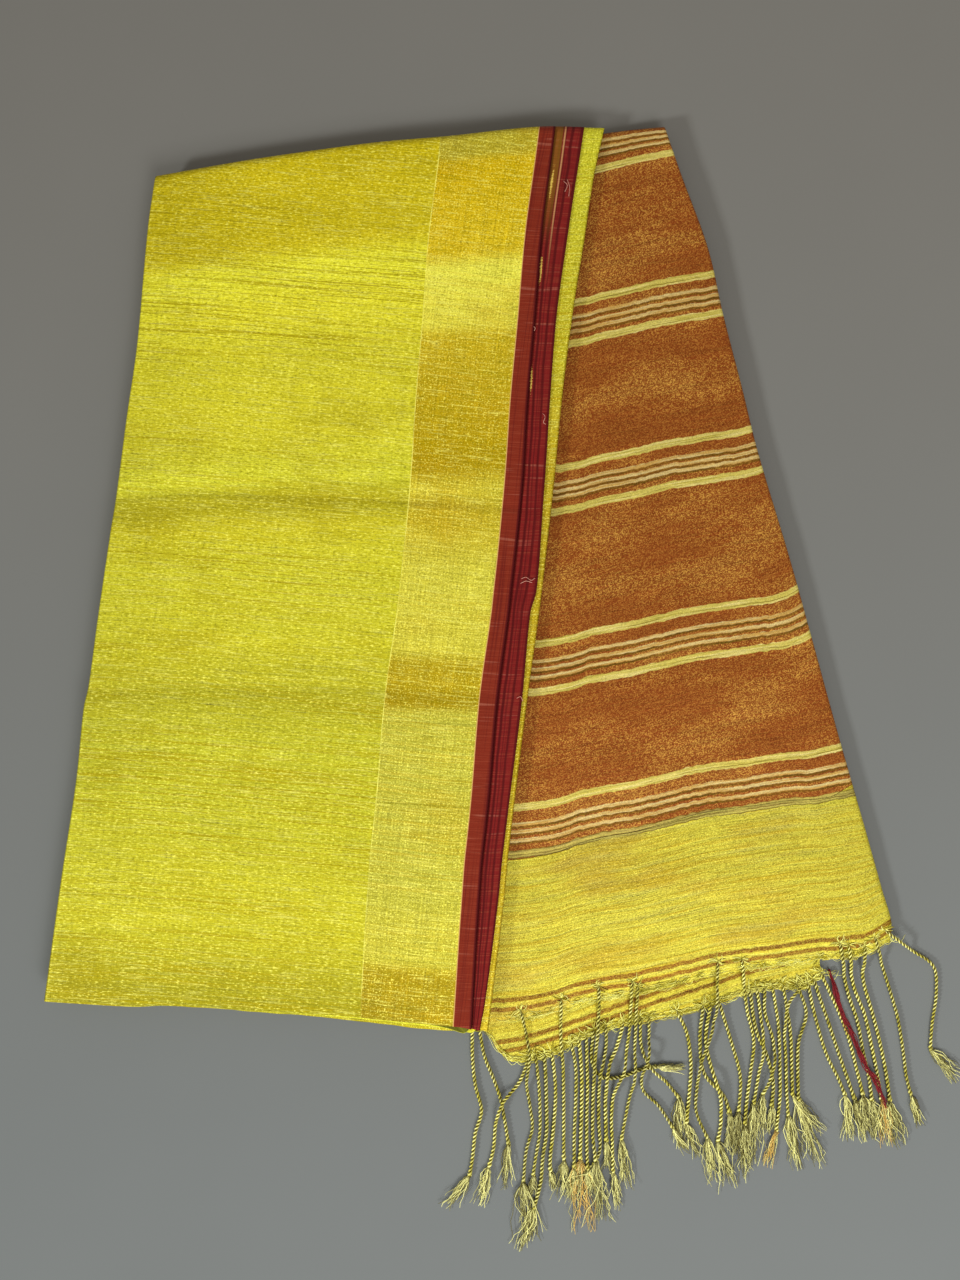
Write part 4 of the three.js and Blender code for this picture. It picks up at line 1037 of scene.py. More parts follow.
@dataclass(frozen=True)
class SelvedgeFinish:
    """Dense dark red cotton selvedge, ribbed across, with lengthwise shadows where it is folded.

    A shadow of the lower selvedge is a place across, a half width and a strength. A lens is a stretch along
    it where gold shows through.
    """

    part: SelvedgePart
    red: Colour = (126, 40, 21)
    under: Colour = (124, 27, 24)
    dark: Colour = (84, 14, 14)
    bright: Colour = (148, 70, 46)
    rose: Colour = (190, 120, 96)
    heading: Colour = (214, 168, 96)
    turned: Colour = (132, 88, 22)
    pale: Colour = (200, 150, 96)
    gold: Colour = (222, 190, 84)
    shadows: tuple[tuple[float, float, float], ...] = (
        (0.02, 0.06, 0.95), (0.26, 0.055, 0.95), (0.42, 0.025, 0.7), (0.62, 0.05, 0.9), (0.95, 0.06, 0.9))
    lenses: Profile = ((0.9, 0.972), (0.806, 0.876), (0.69, 0.75))

    def build(self) -> Material:
        """Makes the material; the plan map's first value runs from the selvedge's left edge to its right.

        Returns:
            The material.
        """
        w = Weaver(self.part.value)
        cloth, plan = w.uv("cloth"), w.uv("plan")
        rib, rare = w.noise(cloth, 40, 1900, 1.0), w.noise(cloth, 25, 420, 2.0, 1)
        length, grain = w.noise(cloth, 900, 8, 3.0), w.noise(cloth, 1500, 1500, 4.0, 1)
        top = self.part is SelvedgePart.TOP
        colour = w.tints(self.red if top else self.under, (self.bright, rib, 0.5, 0.72, 0, 0.5),
                         (self.rose, rare, 0.64, 0.76, 0, 0.3), (self.dark, length, 0.48, 0.7, 0, 0.55))
        if top:
            across = w.split(plan)[0]
            colour = w.mix(w.line(across, 0.0, 0.05, 0.02), colour, self.heading)
            # Painted shade along the right edge, where it steps down to the lower selvedge.
            colour = w.mix(w.line(across, 1.0, 0.1, 0.06), colour, self.dark)
        else:
            colour = self._folded(w, colour, plan, w.sum(0.0, (grain, 0.6), (rib, 0.8)))
        value = w.sum(1.0, (rib, 0.3), (grain, 0.3), (length, 0.2))
        height = w.sum(0.5, (rib, 0.8), (length, 0.5), (grain, 0.3))
        return w.finish(w.brighten(colour, value), height, SELVEDGE_RELIEF, COTTON)

    def _folded(self, w: Weaver, colour: Socket, plan: Socket, frayed: Socket) -> Socket:
        """Draws the lower selvedge's shadows, its turned edge with a pale thread, and its gold lenses.

        Args:
            w: the material's nodes.
            colour: the red below.
            plan: the plan map.
            frayed: what breaks the lenses' edges up.

        Returns:
            The colour.
        """
        across, along = w.split(plan)[:2]
        swayed = w.math("ADD", across, w.sum(0.0, (w.noise(plan, 0.01, 14, 5.0), 0.22)))
        for centre, half, strength in self.shadows:
            mask = w.line(swayed if 0.1 < centre < 0.9 else across, centre, half, 0.03)
            colour = w.mix(w.times(mask, strength), colour, self.dark)
        turned = w.times(w.line(across, 0.17, 0.14, 0.03), w.between(along, 0.86, 0.94))
        colour = w.mix(w.times(turned, 0.75), colour, self.turned)
        pale = w.times(w.line(across, 0.38, 0.025, 0.02), w.between(along, 0.82, 0.92))
        colour = w.mix(w.times(pale, 0.8), colour, self.pale)
        for low, high in self.lenses:
            middle = (low + high) / 2
            run = w.times(w.between(along, low, middle), w.between(along, middle, high, 1, 0))
            lens = w.times(run, w.line(swayed, 0.12, 0.02, 0.1))
            colour = w.tints(colour, (self.gold, w.math("ADD", lens, frayed), 0.32, 0.5, 0, 0.9))
        return colour


class Strand(Enum):
    """What a strand is, which its finish reads as the whole part of the strand's number."""

    CORD = 0
    FRAY = 1
    BRUSH = 2


@dataclass(frozen=True)
class CordFinish:
    """Twisted tissue yarn: painted shade between the plies, a painted highlight on top, frayed ends and
    brushed fibres.
    """

    name: str
    dark: Colour
    body: Colour
    pale: Colour
    fray: tuple[Colour, Colour] = ((196, 182, 44), (255, 252, 140))
    orange: Colour = (190, 130, 10)
    # painted shade among the brushed fibres: the darkest tone that they are given
    brush: Colour = (110, 100, 34)
    gain: float = 1.0

    def build(self) -> Material:
        """Makes the material; the plan map holds the strand's number and how far outward a point faces, which
        sets the painted shade between plies and the painted highlight on them.

        Returns:
            The material.
        """
        w = Weaver(self.name)
        cloth = w.uv("cloth")
        number, outward = w.split(w.uv("plan"))[:2]
        own = w.math("FRACT", number)
        fibre, along = w.noise(cloth, 300, 3200, 1.0), w.noise(cloth, 140, 20, 2.0)
        tone = w.math("ADD", own, fibre)
        # Painted shade: darker where a ply faces in, in the grooves between the plies.
        colour = w.tints(self.dark, (self.body, fibre, 0.35, 0.62, 0.3, 1),
                         (self.dark, outward, 0.42, 0.86, 1, 0))
        # Painted highlight on the crown of each ply.
        crown = w.times(w.between(outward, 0.78, 1, 0, 0.95), w.between(along, 0.35, 0.6))
        colour = w.mix(crown, colour, self.pale)
        frayed = w.mix(w.between(tone, 0.7, 1.4), *self.fray)
        # Brushed fibres: dark tones of painted shade among them, pale ones by their own number and fibre
        # noise.
        brushed = w.tints(self.brush, (self.pale, tone, 0.5, 1.45), (self.orange, own, 0.93, 0.95, 0, 0.7))
        for kind, look in ((Strand.FRAY, frayed), (Strand.BRUSH, brushed)):
            colour = w.mix(w.math("GREATER_THAN", number, kind.value - 0.001), colour, look)
        value = w.sum(self.gain, (own, 0.3), (fibre, 0.6), (along, 0.2))
        return w.finish(w.brighten(colour, value), fibre, YARN_RELIEF, YARN)


# Painted sheen and painted shade of the top sheet's cloth, by the share along the pack, darker at the
# creases.
FIELD_SHEEN = (
    (0, 0.5), (0.1, 0.7), (0.3, 1), (0.385, 0.75), (0.5, 0.85), (0.59, 0.45), (0.62, 1), (0.68, 0.65),
    (0.82, 0.7), (0.86, 0.9), (0.895, 0.1), (1, 0),
)
FIELD_SHADE = (
    (0, 0.45), (0.04, 0.53), (0.1, 0.76), (0.3, 0.7), (0.37, 0.62), (0.39, 0.65), (0.43, 0.82),
    (0.56, 0.88), (0.588, 0.64), (0.604, 0.68), (0.62, 0.9), (0.75, 0.93), (0.82, 1.14), (0.86, 1.15),
    (0.9, 0.97), (0.98, 0.98), (1, 0.8),
)
BORDER_SHEEN = (
    (0, 0.15), (0.065, 0.1), (0.08, 0.75), (0.2, 0.95), (0.35, 0.9), (0.364, 0.05), (0.404, 0.1),
    (0.424, 0.7), (0.5, 0.8), (0.57, 0.3), (0.6, 0.5), (0.63, 0), (0.765, 0.15), (0.787, 0.8),
    (0.845, 0.95), (0.866, 0.1), (0.962, 0), (0.974, 0.4), (1, 0.45),
)
BORDER_SHADE = (
    (0, 0.4), (0.06, 0.53), (0.08, 0.69), (0.2, 0.62), (0.35, 0.65), (0.364, 0.6), (0.404, 0.66),
    (0.424, 0.85), (0.575, 0.83), (0.587, 0.7), (0.6, 0.87), (0.63, 0.68), (0.72, 0.8), (0.765, 0.87),
    (0.787, 1.05), (0.845, 1.11), (0.962, 1.03), (0.974, 0.67), (1, 0.71),
)
EVEN = ((0.0, 0.5), (1.0, 0.5))


# -------- the pack

HELD_AT = 1.5  # fall of a fold, in millimetres, by which its cloth is held tight and takes no waves


def folded_grid(patch: Patch, across: Lines, along: Lines, width: Relief, length: Relief, deepest: float
                ) -> tuple[Array, ...]:
    """Lays a sheet's grid lines on a patch, and finds how far its folds fall there.

    A line lies at its share of the way between the sheet's limits, plus its offset. Where two folds meet, the
    fall is the root of the sum of their squares.

    Args:
        patch: the plan.
        across: lines from left to right.
        along: lines from near to far.
        width: distance from the patch's left edge, as a function of v and the share across.
        length: distance from its near edge, as a function of u and the share along.
        deepest: the most that the folds may fall.

    Returns:
        Grids of u, v, the fall, and how loose the cloth lies, from 0 to 1.
    """
    share, offset, fall = (a[:, None] for a in (across.share, across.offset, across.fall))
    row_share, row_offset, row_fall = (a[None, :] for a in (along.share, along.offset, along.fall))
    u, v = patch.place(lambda v: width(v, share) + offset, lambda u: length(u, row_share) + row_offset,
                       (len(across.share), len(along.share)))
    drop = np.minimum(np.hypot(fall, row_fall), deepest)
    return u, v, drop, 1 - np.clip(drop / HELD_AT, 0, 1)


@dataclass
class TopSheets:
    """The sheets that show on the pack: body, border, the two red selvedges and the centre fold.

    The steps are how far the lower selvedge and the centre fold lie below the top sheet.
    """

    plan: Plan
    thickness: float = 0.55
    rows: int = 230
    top_fold: Fold = Fold(7.0, 5.0, 92, 10)
    side_fold: Fold = Fold(2.6, 3.6, 96, 8)
    end_fold: Fold = Fold(2.0, 2.0, 92, 6)
    seam: float = 0.01
    under_step: float = 1.3
    centre_step: float = 2.8
    unevenness: Waves = ((3, 0.16, 2.2, 90), (4, 0.07, 3, 26))

    def _along(self) -> Array:
        """Shares along the pack: even, but closer at the two creases."""
        near = (np.linspace(0.572, 0.64, 60), np.linspace(0.36, 0.4, 20))
        return np.unique(np.concatenate([np.linspace(0, 1, self.rows), *near]))

    def sheet(self, name: str, limits: tuple[Curve, Curve], columns: int, level: float, creased: float,
              folds: tuple[Fold | None, Fold | None, Fold], material: Material,
              relief: Relief | None = None) -> Piece:
        """Makes one band of a sheet.

        A point falls from the level by the creases, by the folds at the sheet's sides and by a slight
        unevenness.

        Args:
            name: the piece's name.
            limits: its left and right limits, as distances from the pack's left edge by v.
            columns: grid lines across the flat.
            level: height of the sheet.
            creased: share of the creases' depth that it takes.
            folds: left, right and top folds.
            material: the finish.
            relief: further height, as a function of the share across and v.

        Returns:
            The piece.
        """
        patch, (start, end), (left, right, top) = self.plan.pack, limits, folds
        back = smooth_curve(TOP_SHEET_BACK)
        u, v, drop, loose = folded_grid(
            patch, Lines.between(columns, left, right), Lines.between(0, self.end_fold, top, self._along()),
            lambda v, share: blend(start(v), end(v), share),
            lambda u, share: blend(back(u), patch.length(u), share), top.drop + 0.3)
        x, y = np.moveaxis(patch.at(u, v), -1, 0)
        inside = np.clip((u * patch.width(v) - start(v)) / (end(v) - start(v)), 0, 1)
        height = slack(self.unevenness, x, y) - creased * self.plan.creases(u, v)
        if relief:
            height = height + relief(inside, v)
        cloth = np.stack([(u - 1) * patch.width(v), v * patch.length(u)], -1) / MM_PER_METRE
        return cloth_wall(name, np.stack([x, y, level - drop + loose * height], -1), self.thickness,
                          {"cloth": cloth, "plan": np.stack([inside, v], -1)}, material, self.plan)

    def build(self) -> dict[str, Piece]:
        """Makes the five sheets; each is a step or a seam away from the next.

        Returns:
            Node name to piece.
        """
        plan, wide, level = self.plan, self.plan.pack.width, self.plan.pack_top
        # The body's outline and side are painted shade along and towards its left edge.
        body = TissueFinish("gold_tissue", FIELD_SHEEN, FIELD_SHADE, deep=(150, 134, 6), slub=1.15, grain=0.7,
                            fleck=0.45, weft=420, outline=0.011, side=0.11)
        border = TissueFinish("border_gold", BORDER_SHEEN, BORDER_SHADE, gold=(204, 172, 8),
                              light=(222, 218, 76), deep=(176, 140, 6), slub=0.5, grain=0.8, warp=0.8,
                              threads=0.4, blotch=0.15, heading=0.012, pressed=((0.252, 0.8), (0.342, 0.35)))
        # Painted sheen, paler towards the far end, and slight painted shade along the centre fold.
        centre = TissueFinish("centre_gold", ((0, 0.1), (0.6, 0.1), (0.78, 0.7), (1, 0.9)),
                              ((0, 0.86), (0.5, 0.82), (0.7, 0.8), (1, 0.85)), gold=(198, 164, 34))
        top, under = SelvedgeFinish(SelvedgePart.TOP), SelvedgeFinish(SelvedgePart.UNDER)

        def limits(band: str, beyond: str) -> tuple[Curve, Curve]:
            """The limits of a band, between its own seam and the next one's."""
            return (lambda v: wide(v) - plan.from_right(band, v) + self.seam,
                    lambda v: wide(v) - plan.from_right(beyond, v) - self.seam)

        rows = (
            ("body_field", "body_sheet", (lambda v: 0 * v, limits("border", "border")[1]), 96, 0, 1.0,
             (self.side_fold, None, self.top_fold), body, None),
            ("gold_border", "border_sheet", limits("border", "selvedge"), 34, 0, 1.0,
             (None, None, self.top_fold), border, None),
            ("selvedge_top", "selvedge_top_sheet", limits("selvedge", "under"), 14, 0, 1.0,
             (None, Fold(0.5, 0.5, 80, 3), self.top_fold), top, self._top_ridge),
            ("selvedge_under", "selvedge_under_sheet", limits("under", "centre"), 22, self.under_step, 0.5,
             (None, Fold(0.8, 0.8, 90, 4), Fold(7.0, 3.5, 92, 10)), under, self._under_ridges),
            ("centre_fold", "centre_fold_sheet", (limits("centre", "centre")[0], wide), 12, self.centre_step,
             0.3, (None, Fold(1.5, 4.6, 100, 8), Fold(7.0, 2.2, 92, 10)), centre, None),
        )
        return {node: self.sheet(name, between, columns, level - step, creased, folds, finish.build(), relief)
                for node, name, between, columns, step, creased, folds, finish, relief in rows}

    @staticmethod
    def _top_ridge(share: Array, v: Array) -> Array:
        """The top selvedge curls up a little along its outer edge."""
        return 0.35 * share**3 * (1 + 0.5 * ripple(8, v, (0.21, 0.09, 0.034)))

    @staticmethod
    def _under_ridges(share: Array, v: Array) -> Array:
        """Lengthwise ridges of the folded selvedge: bells across it that wander a little along the pack.

        Args:
            share: shares across.
            v: shares along.

        Returns:
            The height in millimetres, less a groove at the left edge.
        """
        ridges = ((0.2, 0.09, 0.5), (0.46, 0.1, 0.65), (0.74, 0.12, 0.55))
        sway = 0.06 * ripple(9, v, (0.31, 0.13, 0.05))
        height = sum(tall * np.exp(-(((share - place - sway) / reach) ** 2)) for place, reach, tall in ridges)
        return height - 0.5 * np.exp(-((share / 0.07) ** 2))


# A folded edge seen from the side: how far up it each ring lies, and that ring's share of the groove's depth.
LIP = ((0.04, 1.0), (0.2, 0.35), (0.5, 0.0), (0.8, 0.35), (0.96, 1.0))


@dataclass
class Pile:
    """Folded lengths stacked on each other, seen at the edges as lips of cloth, one closed piece.

    Corner is the radius in plan, groove the depth between two lips, stray how far a lip may lie in from its
    place, and spacing the distance taken between a ring's points.
    """

    plan: Plan
    corner: float
    groove: float
    stray: float
    spacing: float = 4.3

    @staticmethod
    def ring(counts: tuple[int, int, int, int], corner: int = 5) -> tuple[Array, ...]:
        """Points round a rounded rectangle, as shares p across and q along, and outward directions cx and cy.

        Args:
            counts: points on the bottom, right, top and left sides.
            corner: points round each corner.

        Returns:
            p, q, cx and cy.
        """
        parts = []
        sides = ((0, 1, 0, 0, 0, -1), (1, 1, 0, 1, 1, 0), (1, 0, 1, 1, 0, 1), (0, 0, 1, 0, -1, 0))
        for k, (count, (p0, p1, q0, q1, nx, ny)) in enumerate(zip(counts, sides)):
            t, flat, still = np.linspace(0, 1, count), np.ones(count), np.ones(corner)
            angle = (k - 1 + np.arange(1, corner + 1) / (corner + 1)) * math.pi / 2
            parts.append(np.stack([blend(p0, p1, t), blend(q0, q1, t), nx * flat, ny * flat]))
            parts.append(np.stack([p1 * still, q1 * still, np.cos(angle), np.sin(angle)]))
        return tuple(np.concatenate(parts, axis=1))

    def loft(self, name: str, rows: list[Array], material: Material) -> Piece:
        """Closes a stack of rings, lowest first, with flat ends.

        Args:
            name: the piece's name.
            rows: each (count, 3) in millimetres.
            material: the finish.

        Returns:
            The piece.
        """
        points = np.concatenate(rows)
        count, levels = len(rows[0]), len(rows)
        ups = [up for up, _ in LIP]
        share = (np.add.outer(np.arange(levels // len(LIP)), ups) * len(LIP) / levels).ravel()
        k = np.arange(count)
        below = (np.arange(levels - 1)[:, None] * count + k).ravel()
        beside = (np.arange(levels - 1)[:, None] * count + (k + 1) % count).ravel()
        sides = np.stack([below, beside, beside + count, below + count], -1).tolist()
        ends = [k[::-1].tolist(), (k + (levels - 1) * count).tolist()]
        cloth = np.stack([np.tile(k * self.spacing, levels), points[:, 2] * 4], -1) / MM_PER_METRE
        maps = {"cloth": cloth, "plan": np.stack([np.tile(k / count, levels), np.repeat(share, count)], -1)}
        return make_piece(name, self.plan.metres(points), sides + ends, maps, material)


@dataclass(frozen=True)
class Setback:
    """How far in from the pack's outline its layers lie, by height, in millimetres.

    The upper layers slip back a little at the left, and round over below the top sheet's fold at the far
    side. The near side goes back in ledges, each a height and a share of the top sheet's own setback, with
    every other two lips further out, and its lowest lips turn away at the right, between two shares across.
    At the right side the upper layers are stepped back under the fold, and then under the red selvedge.
    """

    slip: float = 0.8
    slip_above: float = 12.5
    far_slip: float = 0.5
    far_slip_above: float = 10.0
    round_depth: float = 7.0
    round_above: float = 10.4
    round_height: float = 5.0
    ledges: Profile = ((5.58, 0), (5.62, 0.5), (12.0, 0.56), (12.02, 0.82), (14.6, 1))
    further_out: float = 0.92
    turn_depth: float = 7.7
    turn_below: float = 3.7
    turn_share: Point = (0.76, 0.9)
    right_low: float = 5.0
    right_low_below: float = 7.5
    right_high: float = 1.8
    fold_above: float = 11.2
    red_above: float = 12.0
    under_sheet: float = 1.6

    def left(self, z: float) -> float:
        """Setback of the left side."""
        return self.slip if z > self.slip_above else 0.0

    def far(self, z: float) -> float:
        """Finds the setback of the far side: a quarter ellipse, and the slip.

        Args:
            z: height.

        Returns:
            The setback.
        """
        over = min(1.0, max(0.0, z - self.round_above) / self.round_height)
        slip = self.far_slip if z > self.far_slip_above else 0
        return self.round_depth * (1 - math.sqrt(1 - over**2)) + slip

    def near(self, z: float, lip: int, p: Array) -> Array:
        """Finds the setback of the near side.

        Args:
            z: height.
            lip: which lip.
            p: shares across.

        Returns:
            The setback at each of them.
        """
        step = np.interp(z, *zip(*self.ledges)) * (self.further_out if lip % 4 < 2 else 1.0)
        start, stop = self.turn_share
        turn = self.turn_depth * np.clip((p - start) / (stop - start), 0, 1) ** 2
        return step * smooth_curve(TOP_SHEET_BACK)(p) + (turn if z < self.turn_below else 0)


@dataclass
class PackPile(Pile):
    """The pack's folded lengths: lips from the table up to the top sheet, stepped back under the red edge."""

    corner: float = 4.0
    groove: float = 1.1
    stray: float = 0.5
    lip: float = 0.8
    height: float = 15.0
    margin: float = 0.3
    setback: Setback = Setback()

    def build(self) -> Piece:
        """Makes the pile; each lip bulges to the pack's outline, less its side's setback and a slight stray.

        Returns:
            The piece.
        """
        patch, setback = self.plan.pack, self.setback
        p, q, cx, cy = self.ring((120, 130, 90, 130))
        wide, long = (float(size(np.array(0.5))) for size in (patch.width, patch.length))
        centre, under = (self.plan.from_right(band, q) + setback.under_sheet for band in ("centre", "under"))
        around = np.arange(len(p)) * self.spacing
        lips, rows = int(self.height / self.lip), []
        for k in range(lips):
            for up, out in LIP:
                z = 0.0 if k == 0 and up < 0.1 else (k + up) * self.lip
                stray = self.stray * (1 + ripple(20 + k // 2, around, (610, 230, 97, 41)))
                inset = out * self.groove * (0.5 if k % 2 else 1.0) + stray + self.margin
                left = inset + setback.left(z) + self.corner
                near = inset + setback.near(z, k, p) + self.corner
                right = inset + (setback.right_low if z < setback.right_low_below else setback.right_high)
                if z > setback.fold_above:
                    right = under if z > setback.red_above else centre
                a = blend(left, wide - right - self.corner, p) + self.corner * cx
                b = blend(near, long - inset - setback.far(z) - self.corner, q) + self.corner * cy
                rows.append(np.column_stack([patch.at(a / wide, b / long), np.full(len(p), z)]))
        # Painted sheen and painted shade by height: the lower lips darker, the top ones paler, with painted
        # shade between lips.
        finish = TissueFinish("folded_gold", ((0, 0.4), (0.75, 0.5), (0.85, 1), (1, 1)),
                              ((0, 0.65), (0.7, 0.8), (0.85, 1), (1, 1)), gain=1.0, layers=lips // 2)
        return self.loft("folded_lengths", rows, finish.build())


@dataclass
class PalluPile(Pile):
    """The pallu's own layers under its top sheet: a few lips whose height follows the sheet over them.

    Margins are how far they lie in at the tucked and the fringed side, and the two others are their inset at
    the far side and the top lip's.
    """

    corner: float = 2.0
    groove: float = 0.8
    stray: float = 0.4
    lips: int = 6
    below: float = 1.1
    margins: Point = (0.6, 16.0)
    margin: float = 0.2
    far_inset: float = 0.5
    top_inset: float = 1.2

    def build(self) -> Piece:
        """Makes the pile; a lip's height is its share of the height of the sheet above.

        Returns:
            The piece.
        """
        plan, patch, corner = self.plan, self.plan.pallu, self.corner
        p, q, cx, cy = self.ring((70, 110, 30, 110))
        around, (tucked, fringed), rows = np.arange(len(p)) * self.spacing, self.margins, []
        for k in range(self.lips):
            for up, out in LIP:
                share = 0.0 if k == 0 and up < 0.1 else (k + up) / self.lips
                stray = self.stray * (1 + ripple(60 + k, around, (410, 130, 57)))
                slip = self.top_inset if k == self.lips - 1 else 0
                inset = out * self.groove + stray + self.margin + slip
                far = inset + self.far_inset + corner
                u, v = patch.place(
                    lambda v: blend(tucked + corner, patch.width(v) - inset - corner, p) + corner * cx,
                    lambda u: blend(fringed + corner, patch.length(u) - far, q) + corner * cy, p.shape)
                rows.append(np.column_stack([patch.at(u, v), share * (plan.pallu_top(u, v) - self.below)]))
        # Painted shade by height, a little darker low down, and painted shade between lips.
        finish = TissueFinish("folded_rust", EVEN, ((0.0, 0.9), (1.0, 1.0)), gold=(140, 84, 30),
                              light=(168, 110, 44), deep=(96, 46, 16), olive=(90, 46, 14),
                              pale=(206, 150, 70), gain=1.0, layers=self.lips)
        return self.loft("pallu_layers", rows, finish.build())


def puckers(seed: int, x: Array, from_end: Array, depth: float, reach: float, lengths: Sequence[float]
            ) -> Array:
    """Waves across a frayed end, which die away from it by their reach."""
    return depth * np.exp(-from_end / reach) * ripple(seed, x, lengths)


@dataclass
class PalluSheets:
    """The pallu's top sheet in its two stretches, and the end of the sheet below it.

    Band is the length of the gold end, half seam the gap each stretch leaves there, and deepest how far folds
    fall.
    """

    plan: Plan
    thickness: float = 0.5
    side_fold: Fold = Fold(2.2, 2.6, 94, 7)
    top_fold: Fold = Fold(5.0, 3.6, 90, 8)
    deepest: float = 3.8
    band: float = 109.0
    half_seam: float = 0.15
    lower_top: float = 1.45
    unevenness: Waves = ((33, 0.18, 1.6, 70), (34, 0.07, 3, 22))

    def sheet(self, name: str, low: float, high: float | None, columns: int, rows: int, material: Material
              ) -> Piece:
        """Makes a stretch of the pallu.

        A point's height is the pallu's rise there, less the folds' fall, with a slight unevenness that grows
        into puckers at the fringed end.

        Args:
            name: the piece's name.
            low: its near limit, a distance from the fringed end.
            high: its far limit, or None at the top fold.
            columns: grid lines across the flat.
            rows: grid lines along it.
            material: the finish.

        Returns:
            The piece.
        """
        plan, patch = self.plan, self.plan.pallu
        top = self.top_fold if high is None else None
        u, v, drop, loose = folded_grid(
            patch, Lines.between(columns, None, self.side_fold), Lines.between(rows, None, top),
            lambda v, share: blend(0, patch.width(v), share),
            lambda u, share: blend(low, patch.length(u) if high is None else high, share), self.deepest)
        x, y = np.moveaxis(patch.at(u, v), -1, 0)
        from_end = v * patch.length(u)
        height = slack(self.unevenness, x, y) + puckers(31, x, from_end, 0.5, 14, (23, 13.7, 9.1))
        z = plan.pallu_top(u, v) - drop + loose * height
        y = y + puckers(35, x, from_end, 0.9, 5, (19, 11.3, 6.1))
        cloth = np.stack([u * patch.width(v), plan.woven_along(u, v)], -1) / MM_PER_METRE
        return cloth_wall(name, np.stack([x, y, z], -1), self.thickness,
                          {"cloth": cloth, "plan": np.stack([u, v], -1)}, material, plan)

    def build(self) -> dict[str, Piece]:
        """Makes the striped field, the end band and the lower sheet's end.

        Returns:
            Node name to piece.
        """
        gold = PalluFinish("end_band_gold", band=True, gain=0.82).build()
        rust = PalluFinish("rust_tissue").build()
        start, stop = self.band + self.half_seam, self.band - self.half_seam
        return {
            "pallu_field": self.sheet("pallu_striped_sheet", start, None, 84, 150, rust),
            "pallu_end_band": self.sheet("pallu_band_sheet", 0, stop, 110, 50, gold),
            "pallu_lower_end": self._lower(gold),
        }

    def _lower(self, material: Material) -> Piece:
        """Makes the lower sheet's end: straight between its own frayed edge and a line under the upper sheet.

        Args:
            material: the finish.

        Returns:
            The piece.
        """
        plan = self.plan
        run = np.linspace(plan.lower_start, plan.lower_stop, 150)
        x, t = np.meshgrid(run, np.linspace(0, 1, 26), indexing="ij")
        edge, upper = plan.end_of_lower(x) + 0.8 * ripple(41, x, (17, 10.3, 5.9)), plan.end_of_pallu(x)
        y = blend(edge, upper + plan.lower_tuck, t)
        under = np.clip((y - upper + 4) / 5, 0, 1)
        z = self.lower_top + puckers(42, x, y - edge, 0.45, 12, (21, 12.1, 8.3)) * (1 - under)
        woven = sum(RUST_LINES) / 2 - (y - smooth_curve(LOWER_PAIR)(x))
        cloth = np.stack([x + 300, woven], -1) / MM_PER_METRE
        return cloth_wall("pallu_lower_sheet", np.stack([x, y, z], -1), self.thickness,
                          {"cloth": cloth, "plan": np.stack([x / 240, t], -1)}, material, plan)


# -------- the fringe

LOWER_FRINGE = (
    (76, ((75, -282), (81, -292), (94, -292), (108, -287), (118, -285), (137, -286))),
    (-5, ((-5, -278), (-3, -298), (1, -315), (-3, -329), (-5, -346), (-7, -358), (-21, -380))),
    (-1, ((3, -278), (9, -293), (14, -308), (17, -324), (19, -337), (17, -367))),
    (33, ((26, -296), (16, -307), (11, -320), (9, -340), (6, -352), (-1, -378))),
    (37, ((39, -293), (40, -310), (40, -329), (37, -347), (35.5, -358), (35, -371))),
    (43, ((44, -293), (44.5, -310), (44.5, -329), (42, -346), (40.5, -363), (36, -380), (27, -408))),
    (48, ((50, -292), (50.5, -305), (49, -328), (47, -346), (47, -355), (49, -368))),
    (61, ((64, -286), (64, -308), (63, -332), (63, -353), (61, -376))),
    (66, ((68, -289), (68, -310), (67.5, -328), (67, -347), (68, -396))),
    (71, ((71.5, -280), (72, -298), (71.5, -317), (71.5, -340), (72, -354), (75, -372))),
    (84, ((84, -274), (80, -291), (79.5, -303), (79.5, -322), (80, -341), (76, -351), (56, -366))),
    (96, ((91, -273), (86, -285), (84, -303), (84, -318), (84.5, -335), (85, -355))),
    (107, ((108, -272), (113, -284), (124, -295), (133, -306), (134, -339))),
    (113, ((112, -277), (108, -289), (109, -301), (119, -311), (129, -326), (139, -343))),
    (131, ((138, -262), (141, -283), (140, -302), (138, -323), (146, -345))),
    (149, ((147, -268), (150, -290), (163, -305), (167, -316), (167, -345))),
    (154, ((151, -268), (155, -287), (160, -304), (161, -322), (159, -335), (168, -367))),
    (159, ((169, -272), (174, -292), (173, -315), (172, -348))),
    (180, ((185, -262), (191.5, -277), (196, -296), (195, -312), (193.5, -330))),
    (184.5, ((188, -255), (188.5, -276), (185.5, -295), (183, -310), (184, -352))),
    (190, ((190.5, -249), (196, -268), (196, -283), (189, -304), (188, -330))),
    (195, ((199.5, -258), (200.5, -286), (200.5, -306), (198, -328), (192, -352))),
    (202, ((207.5, -262), (208.5, -286), (209, -305), (228, -330))),
    (211, ((218, -249), (213, -269), (212.5, -288), (213, -308), (225, -352))),
    (215, ((205, -243), (203.5, -260), (204.5, -279), (205, -301), (206, -318), (213, -354))),
    (218.5, ((226, -259), (232, -278), (239, -292), (244, -304), (248, -334))),
    (222.5, ((233, -256), (240, -277), (246, -294), (250.5, -307), (256, -335))),
    (227, ((240, -249), (247, -268), (252, -288), (256, -304), (262, -334))),
)
